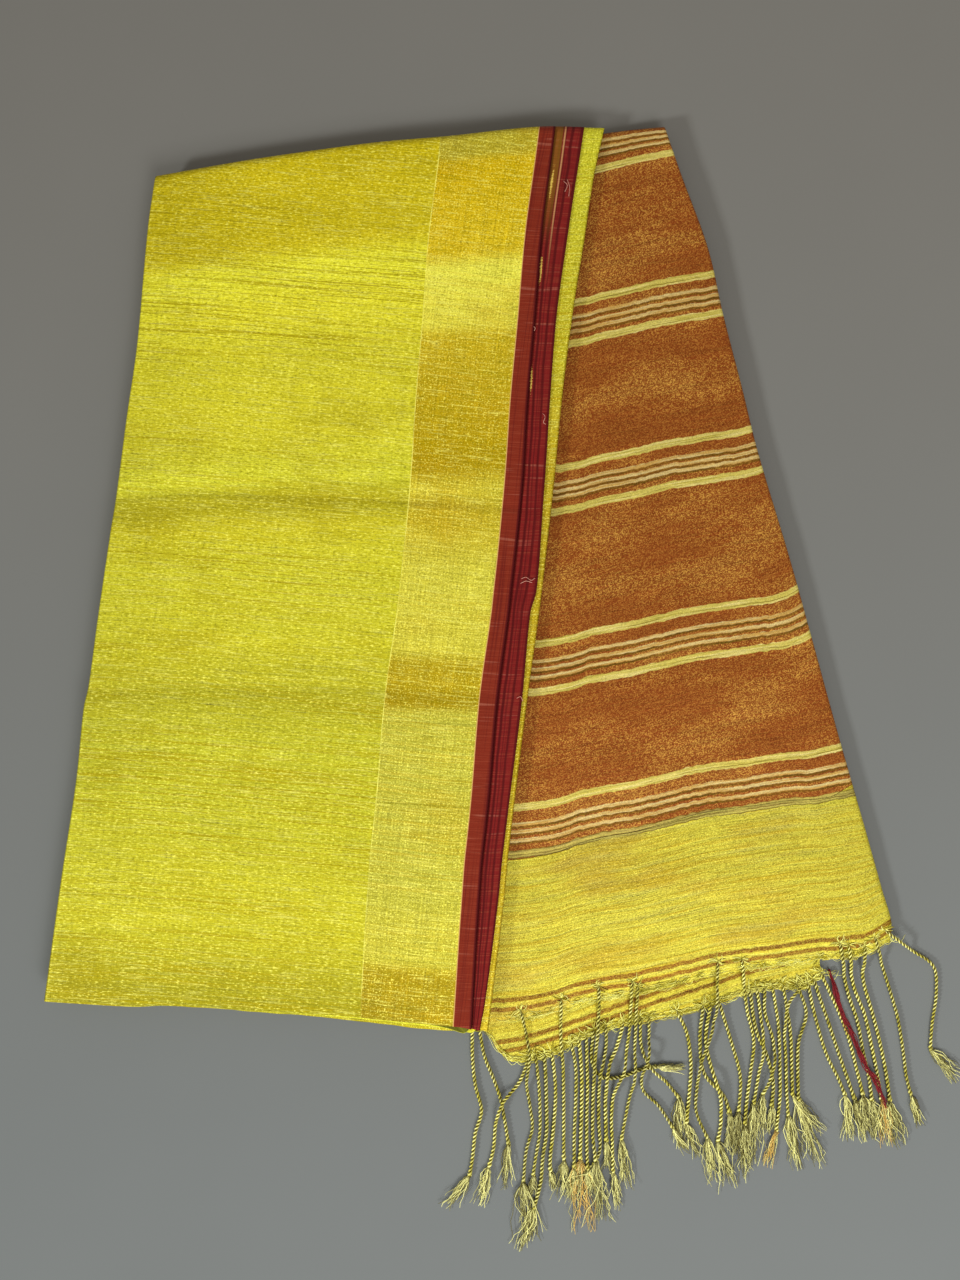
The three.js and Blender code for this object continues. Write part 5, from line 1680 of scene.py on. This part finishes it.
UPPER_FRINGE = (
    (27, ((31, -264), (33, -278), (31, -295), (33.5, -312), (35, -326), (31, -341), (29, -362), (34, -401))),
    (54, ((54, -265), (55.5, -284), (56, -308), (56, -328), (56, -347), (54, -373))),
    (79, ((79, -255), (77, -274), (76, -293), (75.5, -313), (75.5, -332), (77, -347), (81, -389))),
    (101, ((100, -257), (98, -274), (96, -288), (90, -301), (88, -318), (88.5, -336), (89, -356),
           (92, -381))),
    (105, ((104, -257), (103.5, -274), (103, -293), (99, -310), (94.5, -334), (98, -367))),
    (158, ((157, -250), (153, -266), (147, -283), (145, -300), (144.5, -315), (152, -333), (157, -363))),
    (174, ((178, -245), (183, -268), (181, -288), (178.5, -307), (177, -324), (178, -362))),
    (239, ((246, -236), (252, -254), (256, -275), (260, -293), (262, -308), (268, -334))),
    (245, ((250, -232), (257, -250), (261.5, -270), (265.5, -290), (268.5, -308), (275, -338))),
    (256, ((256, -226), (262.5, -250), (267.5, -270), (271.5, -290), (274, -308), (282, -339))),
    (262, ((272, -228), (279, -252), (283, -276), (285, -292), (288, -304), (295, -325))),
    (268.5, ((288, -207), (303, -218), (305, -235), (302, -258), (301, -274), (319, -295))),
)
LOOSE_WARP = ((233.5, -220), (236, -231), (241, -247), (251, -271), (258, -286), (265, -296), (271, -312))


def through_points(points: Sequence[Point], step: float) -> Array:
    """A smooth route through points, at even steps: a centripetal Catmull-Rom curve.

    Between two points the curve is the cubic whose slopes come from the points before and after, weighted by
    the square root of the distances between them.

    Args:
        points: plan points.
        step: distance between the route's own points.

    Returns:
        (n, 2) plan points.
    """
    p = np.array(points, float)
    p = np.vstack([2 * p[0] - p[1], p, 2 * p[-1] - p[-2]])
    knots = travelled(p, 0.5)
    parts = []
    for i in range(1, len(p) - 2):
        t = np.linspace(knots[i], knots[i + 1], 40, endpoint=i == len(p) - 3)[:, None]

        def lerp(a: Array, b: Array, low: float, high: float) -> Array:
            """The straight mix over a knot span."""
            return ((high - t) * a + (t - low) * b) / (high - low)

        a1 = lerp(p[i - 1], p[i], knots[i - 1], knots[i])
        a2 = lerp(p[i], p[i + 1], knots[i], knots[i + 1])
        a3 = lerp(p[i + 1], p[i + 2], knots[i + 1], knots[i + 2])
        parts.append(lerp(lerp(a1, a2, knots[i - 1], knots[i + 1]), lerp(a2, a3, knots[i], knots[i + 2]),
                          knots[i], knots[i + 1]))
    fine = np.concatenate(parts)
    run = travelled(fine)
    even = np.linspace(0, run[-1], max(3, int(round(run[-1] / step)) + 1))
    return np.column_stack([np.interp(even, run, fine[:, k]) for k in range(2)])


@dataclass
class Strands:
    """Round strands that become one mesh: for each its centre line, radii, number and turning phases.

    Wrap is the length of pattern that goes round a strand, in metres. Facing is how far outward a strand
    without phases faces.
    """

    sides: int
    wrap: float = 0.004
    facing: float = 0.85
    rows: list[tuple[Array, Array, float, Array | None]] = field(default_factory=list)

    def add(self, path: Array, radius: Array | float, kind: Strand, own: float, phase: Array | None = None
            ) -> None:
        """Adds one strand.

        Args:
            path: its centre line.
            radius: its radius, along the path.
            kind: what it is.
            own: its own number from 0 to 1, for its tone.
            phase: the direction, round the cord, in which each point of a ply lies.
        """
        number = kind.value + min(max(own, 0.001), 0.999)
        self.rows.append((path, np.broadcast_to(radius, (len(path),)), number, phase))


def tubes(strands: Strands) -> tuple[Array, list, dict[str, Array]]:
    """Carries a round section along each path and closes both ends.

    Each ring stands square to the path: its first direction is the path's turned a quarter in plan, its
    second is square to both. The plan map's second value is how far outward of its cord a point faces.

    Args:
        strands: what to build.

    Returns:
        Points, faces and maps.
    """
    sides, offset = strands.sides, 0
    points, faces, cloth, plan = [], [], [], []
    angle = np.arange(sides) * 2 * math.pi / sides
    for path, radius, number, phase in strands.rows:
        tangent, aside = directions(path)
        upward = np.cross(tangent, aside)
        outwards = (np.cos(angle)[None, :, None] * aside[:, None, :]
                    + np.sin(angle)[None, :, None] * upward[:, None, :])
        count = len(path)
        i, j = np.meshgrid(np.arange(count - 1), np.arange(sides), indexing="ij")
        a, b = (i * sides + j).ravel() + offset, (i * sides + (j + 1) % sides).ravel() + offset
        faces += np.stack([a, b, b + sides, a + sides], -1).tolist()
        faces.append((np.arange(sides)[::-1] + offset).tolist())
        faces.append((np.arange(sides) + offset + (count - 1) * sides).tolist())
        along = travelled(path) / MM_PER_METRE + number
        around, along = np.meshgrid(angle / (2 * math.pi) * strands.wrap, along, indexing="xy")
        outward = np.full(around.shape, strands.facing)
        if phase is not None:
            outward = 0.5 + 0.5 * np.cos(angle[None, :] - phase[:, None])
        cloth.append(np.stack([along, around], -1).reshape(-1, 2))
        plan.append(np.stack([np.full(around.shape, number), outward], -1).reshape(-1, 2))
        points.append((path[:, None, :] + radius[:, None, None] * outwards).reshape(-1, 3))
        offset += count * sides
    return np.concatenate(points), faces, {"cloth": np.concatenate(cloth), "plan": np.concatenate(plan)}


@dataclass(frozen=True)
class FringedEdge:
    """A sheet's end with its cords, each a place on the edge and the points that it runs through.

    At edge is the cloth's top there, which rises inwards. Inward is how far in the cords start, and crosses
    the height of the sheet that they cross.
    """

    name: str
    edge: Curve
    cords: Sequence[tuple[float, Sequence[Point]]]
    at_edge: float
    rise: float
    inward: float
    crosses: float = 0.0
    rise_within: float = 16.0

    def top(self, above_edge: Array) -> Array:
        """Top of the cloth at a distance in from its edge."""
        return self.at_edge + self.rise * np.clip(above_edge / self.rise_within, 0, 1)


@dataclass
class Fringe:
    """The knotted fringe of both sheets: two-ply cords, brushed ends, frayed edges and the loose warp.

    Ply is a ply's radius and ply offset its distance from the cord's centre. Twist is the length of a turn,
    pitch the height between crossing cords, and base the height of a cord on the table. Held and falling are
    how far a cord keeps to the height that it needs, and how far it takes to come down. Fray is weft ends to
    a millimetre.
    """

    plan: Plan
    ply: float = 0.6
    ply_offset: float = 0.62
    twist: float = 5.6
    step: float = 0.9
    pitch: float = 2.6
    base: float = 1.3
    held: float = 3.0
    falling: float = 9.0
    fibres: int = 26
    crossed_ends: int = 12
    warp_threads: int = 12
    fray: float = 1.3
    rng: np.random.Generator = field(default_factory=lambda: np.random.default_rng(7))
    laid: list[Array] = field(default_factory=list)

    def heights(self, route: Array, sheet: FringedEdge | None) -> Array:
        """Lays a route on what lies there: its own cloth, the sheet it crosses and the cords within reach.

        The height needed at a point is held a few millimetres each way and then falls off along a cosine.

        Args:
            route: (n, 2) plan points.
            sheet: the end that the cord hangs from, or None.

        Returns:
            Height at each point.
        """
        need = np.full(len(route), self.base)
        x, y = route.T
        if sheet:
            above = y - sheet.edge(x)
            need = np.where(above > -1, sheet.top(above) + 1.0, need)
            if sheet.crosses:
                on_lower = (x < self.plan.lower_stop + 2) & (y > self.plan.end_of_lower(x) - 2)
                need = np.where(on_lower & (above <= -1), sheet.crosses + self.base - 0.2, need)
        for other in self.laid:
            gap = np.linalg.norm(route[:, None, :] - other[None, :, :2], axis=2)
            near = gap.argmin(1)
            close = gap[np.arange(len(route)), near] < self.pitch * 0.95
            need[close] = np.maximum(need[close], other[near[close], 2] + self.pitch)
        held, falling = int(self.held / self.step), int(self.falling / self.step)
        result = need.copy()
        for shift in range(1, held + falling + 1):
            share = 0.5 + 0.5 * math.cos(math.pi * max(0, shift - held) / (falling + 1))
            for moved in (np.concatenate([np.full(shift, self.base), need[:-shift]]),
                          np.concatenate([need[shift:], np.full(shift, self.base)])):
                result = np.maximum(result, blend(self.base, moved, share))
        return result

    def cord(self, plies: Strands, fibres: Strands, sheet: FringedEdge, root: Point, bends: Sequence[Point],
             own: float) -> None:
        """Makes one cord: two plies wound on each other, a knot before the brush, and the brush itself.

        Each ply's centre circles the route at the ply offset, half a turn from the other.

        Args:
            plies: strands that the plies are added to.
            fibres: strands that the brush is added to.
            sheet: the end that the cord hangs from.
            root: where it leaves the cloth.
            bends: its route, the last point being the brush's tip.
            own: the cord's own number, for its tone.
        """
        route = through_points([root, *bends[:-1]], self.step)
        z = self.heights(route, sheet)
        self.laid.append(np.column_stack([route, z]))
        run = np.arange(len(route)) * self.step
        aside = directions(route)[1]
        knot = 1 + 0.7 * np.exp(-((run[-1] - run - 1.4) / 1.3) ** 2)
        taper = np.clip(run / 3.0, 0.25, 1)
        size = self.rng.uniform(0.9, 1.1) * taper
        for half in (0, math.pi):
            angle = 2 * math.pi * run / self.twist + half + own * 40
            offset = self.ply_offset * size
            centre = route + aside * (np.cos(angle) * offset)[:, None]
            path = np.column_stack([centre, z + np.sin(angle) * offset])
            plies.add(path, self.ply * size * knot, Strand.CORD, own, angle)
        self._brush(fibres, route, z, bends[-1], own)

    def _brush(self, fibres: Strands, route: Array, z: Array, tip: Point, own: float) -> None:
        """Adds the brushed end: fibres fan from the knot towards the tip, each with its own spread and curl.

        Args:
            fibres: strands that they are added to.
            route: the cord's plan points.
            z: its heights.
            tip: where the brush ends.
            own: the cord's own number; the highest ones have orange fibres.
        """
        start = np.array([*route[-1], z[-1]])
        reach = np.array(tip) - start[:2]
        length = float(np.linalg.norm(reach))
        forward = reach / length
        aside = np.array([-forward[1], forward[0]])
        t = np.linspace(0, 1, 9)
        for _ in range(self.fibres):
            spread, curl, crimp = (self.rng.normal(0, width) for width in (0.12, 0.07, 0.02))
            far = length * self.rng.uniform(0.62, 1.05)
            side = (spread * t + curl * np.sin(t * math.pi * self.rng.uniform(0.8, 1.9))
                    + crimp * np.sin(t * math.pi * 6 + self.rng.uniform(0, 6))) * far
            side = side + self.rng.normal(0, 0.5) * (1 - t) ** 2
            height = blend(start[2] + self.rng.normal(0, 0.5), 0.4 + abs(self.rng.normal(0, 1.0)), t ** 0.7)
            height = height + 0.5 * np.sin(t * math.pi)
            line = start[:2] + forward * (t * far)[:, None] + aside * side[:, None]
            tone = 0.97 if own > 0.9 and self.rng.random() < 0.6 else self.rng.uniform(0, 0.9)
            path = np.column_stack([line, np.maximum(height, 0.3)])
            fibres.add(path, blend(0.36, 0.18, t), Strand.BRUSH, tone)

    def row(self, sheet: FringedEdge, finish: Material) -> Piece:
        """Makes one sheet's fringe as one piece, with the fray of its edge.

        Args:
            sheet: the end that the fringe hangs from.
            finish: the material.

        Returns:
            The piece.
        """
        plies, fibres = Strands(6), Strands(3)
        for k, (x, bends) in enumerate(sheet.cords):
            inward = sheet.inward * self.rng.uniform(0.7, 1.25)
            root = (x, float(sheet.edge(np.array(x))) + inward)
            self.cord(plies, fibres, sheet, root, bends, (k * GOLDEN) % 1)
            self._tuft(fibres, np.array([*root, float(sheet.top(np.array(inward)))]))
        self._fray(fibres, sheet)
        points, faces, maps = tubes(plies)
        more, more_faces, more_maps = tubes(fibres)
        faces += [[i + len(points) for i in f] for f in more_faces]
        maps = {label: np.concatenate([maps[label], more_maps[label]]) for label in maps}
        return make_piece(sheet.name, self.plan.metres(np.concatenate([points, more])), faces, maps, finish)

    def _tuft(self, fibres: Strands, at: Array) -> None:
        """Adds the little crossed ends of the yarns that a cord is knotted in with.

        Args:
            fibres: strands that they are added to.
            at: the knot.
        """
        t = np.linspace(0, 1, 6)
        hump = np.sin(t * math.pi)
        lies = [0.3, math.pi - 0.3, -0.4, math.pi + 0.4, math.pi / 2]
        for _ in range(self.crossed_ends):
            turn = self.rng.choice(lies) + self.rng.normal(0, 0.3)
            run, bow = self.rng.uniform(2.5, 7.5) * t, self.rng.normal(0, 0.9) * hump
            x = at[0] + math.cos(turn) * run - math.sin(turn) * bow
            y = at[1] + math.sin(turn) * run + math.cos(turn) * bow
            path = np.column_stack([x, y, at[2] + 0.25 + 0.5 * hump])
            fibres.add(path, 0.27, Strand.FRAY, self.rng.uniform(0, 1))

    def _fray(self, fibres: Strands, sheet: FringedEdge) -> None:
        """Adds weft ends along the frayed edge: short and bowed, nearly along it, with some that hang out.

        Args:
            fibres: strands that they are added to.
            sheet: the end that they lie along.
        """
        low, high = min(c[0] for c in sheet.cords) - 6, max(c[0] for c in sheet.cords) + 5
        t = np.linspace(0, 1, 7)
        hump = np.sin(t * math.pi)
        for _ in range(int((high - low) * self.fray)):
            x = self.rng.uniform(max(low, 6), high)
            along = self.rng.uniform(4, 14) * self.rng.choice([-1, 1])
            inward, out = self.rng.uniform(0.2, 4.5), self.rng.uniform(-0.6, 2.6)
            px = x + along * t
            sway = self.rng.normal(0, 0.5) * np.sin(t * 9)
            hangs = self.rng.random() < 0.5
            above = inward + sway - (inward + out) * hump ** 0.8 * hangs
            pz = sheet.top(above) + 0.12 + 0.25 * hump * self.rng.uniform(0, 1)
            pz = np.where(above < 0, np.maximum(pz - 0.9, 0.4), pz)
            path = np.column_stack([px, sheet.edge(px) + above, pz])
            fibres.add(path, self.rng.uniform(0.12, 0.22), Strand.FRAY, self.rng.uniform(0, 1))

    def warp(self) -> Piece:
        """Makes the loose dyed warp: a bundle of fine threads, each waving about the route on its own.

        Returns:
            The piece.
        """
        step = 2.0
        route = through_points(LOOSE_WARP, step)
        z = self.heights(route, None)
        aside = directions(route)[1]
        run = np.arange(len(route)) * step
        threads = Strands(4)
        for k in range(self.warp_threads):
            side = 1.7 * ripple(80 + k, run, (67, 31, 17)) + self.rng.normal(0, 0.7)
            side = side * np.clip(run / 12, 0.25, 1)
            stop = len(route) - int(self.rng.integers(0, 7))
            lift = 0.5 * ripple(95 + k, run, (41, 19)) - 0.3
            path = np.column_stack([route + aside * side[:, None], np.maximum(z + lift, 0.4)])[:stop]
            threads.add(path, 0.3, Strand.CORD, self.rng.uniform(0, 1))
        points, faces, maps = tubes(threads)
        finish = CordFinish("maroon_thread", (60, 4, 10), (124, 12, 22), (176, 50, 54)).build()
        return make_piece("loose_warp_threads", self.plan.metres(points), faces, maps, finish)

    def build(self) -> dict[str, Piece]:
        """Makes both fringes and the warp bundle, lower first, so that the upper ones lie over it.

        Returns:
            Node name to piece.
        """
        finish = CordFinish("plied_fringe", (88, 76, 12), (210, 200, 76), (255, 250, 164)).build()
        lower = FringedEdge("lower_fringe_cords", self.plan.end_of_lower, LOWER_FRINGE, at_edge=1.5, rise=0.2,
                            inward=4)
        upper = FringedEdge("upper_fringe_cords", self.plan.end_of_pallu, UPPER_FRINGE, at_edge=3.9, rise=1.5,
                            inward=9, crosses=1.5)
        return {"fringe_lower": self.row(lower, finish), "fringe_upper": self.row(upper, finish),
                "loose_warp": self.warp()}


@dataclass
class LooseThreads:
    """Short pale thread ends caught along the selvedges."""

    plan: Plan
    level: float = 15.6
    threads: tuple[Profile, ...] = (
        ((54.5, 300), (57, 297), (55.5, 293)), ((57, 301), (58.5, 296), (58, 290)),
        ((34.5, 205), (36, 204), (35.5, 202)), ((41, 148), (42.5, 146), (41.5, 142), (43, 141)),
        ((27, 40), (30, 41), (33.5, 39), (36, 40.5)), ((26.5, 37), (30, 38.5), (34, 37.5)),
        ((24, -38), (26.5, -37), (28, -40)),
    )

    def build(self) -> Piece:
        """Makes the threads as one piece of fine tubes that lie on the selvedge.

        Returns:
            The piece.
        """
        strands = Strands(4)
        for k, points in enumerate(self.threads):
            route = through_points(points, 0.6)
            z = self.level + 0.5 * np.sin(np.linspace(0, math.pi, len(route)))
            strands.add(np.column_stack([route, z]), 0.2, Strand.CORD, k / len(self.threads))
        points, faces, maps = tubes(strands)
        finish = CordFinish("pale_thread", (170, 90, 80), (214, 150, 130), (236, 200, 170)).build()
        return make_piece("caught_threads", self.plan.metres(points), faces, maps, finish)


# -------- the studio

@dataclass(frozen=True)
class Lamp:
    """A square soft lamp, aimed at the middle of the view from an offset in metres."""

    name: str
    offset: tuple[float, float, float]
    power: float
    size: float
    tint: tuple[float, float, float]

    def build(self, centre: Array) -> None:
        """Makes the light and turns it towards the centre.

        Args:
            centre: the middle of the view, in metres.
        """
        data = bpy.data.lights.new(self.name, "AREA")
        data.energy, data.size, data.color = self.power, self.size, self.tint
        lamp = bpy.data.objects.new(self.name, data)
        lamp.location = centre + np.array(self.offset)
        back = np.array(self.offset) / np.linalg.norm(self.offset)
        lamp.rotation_euler = (math.acos(back[2]), 0, math.atan2(back[1], back[0]) + math.pi / 2)
        bpy.context.scene.collection.objects.link(lamp)


@dataclass
class Studio:
    """A plain floor, warmer towards the far side and painted a little brighter towards the right; a soft lamp
    low on the left, a nearer one below the view, and the camera above.
    """

    plan: Plan
    camera_height: float = 0.65
    lens: float = 27.3
    floor: Colour = (114, 117, 115)
    floor_far: Colour = (119, 117, 111)
    floor_level: float = -0.0002
    ambient: float = 0.44
    lamps: tuple[Lamp, ...] = (
        Lamp("key", (-2.21, -1.615, 1.4), 63.0, 0.38, (0.95, 1.0, 1.03)),
        Lamp("near", (0.55, -1.35, 1.35), 23.0, 0.9, (0.98, 1.0, 1.03)),
    )

    def build(self) -> None:
        """Makes the floor, the lights and the camera."""
        scene = bpy.context.scene
        centre = self.plan.metres(np.zeros(3))
        bpy.ops.mesh.primitive_plane_add(size=8, location=(centre[0], centre[1], self.floor_level))
        floor = bpy.context.object
        floor.name = "floor"
        w = Weaver("floor_paper")
        place = w.add("ShaderNodeTexCoord", {}).outputs["Object"]
        mottle = w.noise(place, 6, 6, 1.0, 3)
        x, y = w.split(place)[:2]
        # Warmer towards the far side, with a faint mottle; painted light makes it brighter towards the right.
        colour = w.mix(w.between(y, -0.4, 0.4), self.floor, self.floor_far)
        colour = w.brighten(colour, w.sum(1.1, (mottle, 0.08), (x, 0.2)))
        floor.data.materials.append(w.finish(colour, None, 0, {"Roughness": 0.9, "Specular IOR Level": 0.1}))
        for lamp in self.lamps:
            lamp.build(centre)
        world = bpy.data.worlds.new("room")
        scene.world = world
        world.use_nodes = True
        background = world.node_tree.nodes["Background"]
        background.inputs[0].default_value = (1.06, 1.0, 0.92, 1)
        background.inputs[1].default_value = self.ambient
        data = bpy.data.cameras.new("camera")
        data.sensor_fit, data.sensor_height, data.lens, data.clip_start = "VERTICAL", 36, self.lens, 0.01
        camera = bpy.data.objects.new("camera", data)
        camera.location = (centre[0], centre[1], self.camera_height)
        scene.collection.objects.link(camera)
        scene.camera = camera
        scene.view_settings.view_transform = "Standard"


# -------- putting it together


def declare(pieces: dict[str, Piece]) -> None:
    """Tells the frame what each piece stands for and what it rides on.

    Args:
        pieces: CAD node name to piece.
    """
    for node, piece in pieces.items():
        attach(piece, "root")
        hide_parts(node)
        LOG.info("%s stands for %s: %d faces", piece.name, node, len(piece.data.polygons))


def main() -> None:
    """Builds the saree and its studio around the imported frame."""
    logging.basicConfig(level=logging.INFO, format="%(name)s: %(message)s")
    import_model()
    plan = Plan()
    Studio(plan).build()
    pieces = TopSheets(plan).build()
    pieces["hidden_folds"] = PackPile(plan).build()
    pieces["pallu_folds"] = PalluPile(plan).build()
    pieces.update(PalluSheets(plan).build())
    pieces.update(Fringe(plan).build())
    declare(pieces)
    threads = LooseThreads(plan).build()
    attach(threads, "root")
    bpy.context.view_layer.update()


if __name__ == "__main__":
    main()
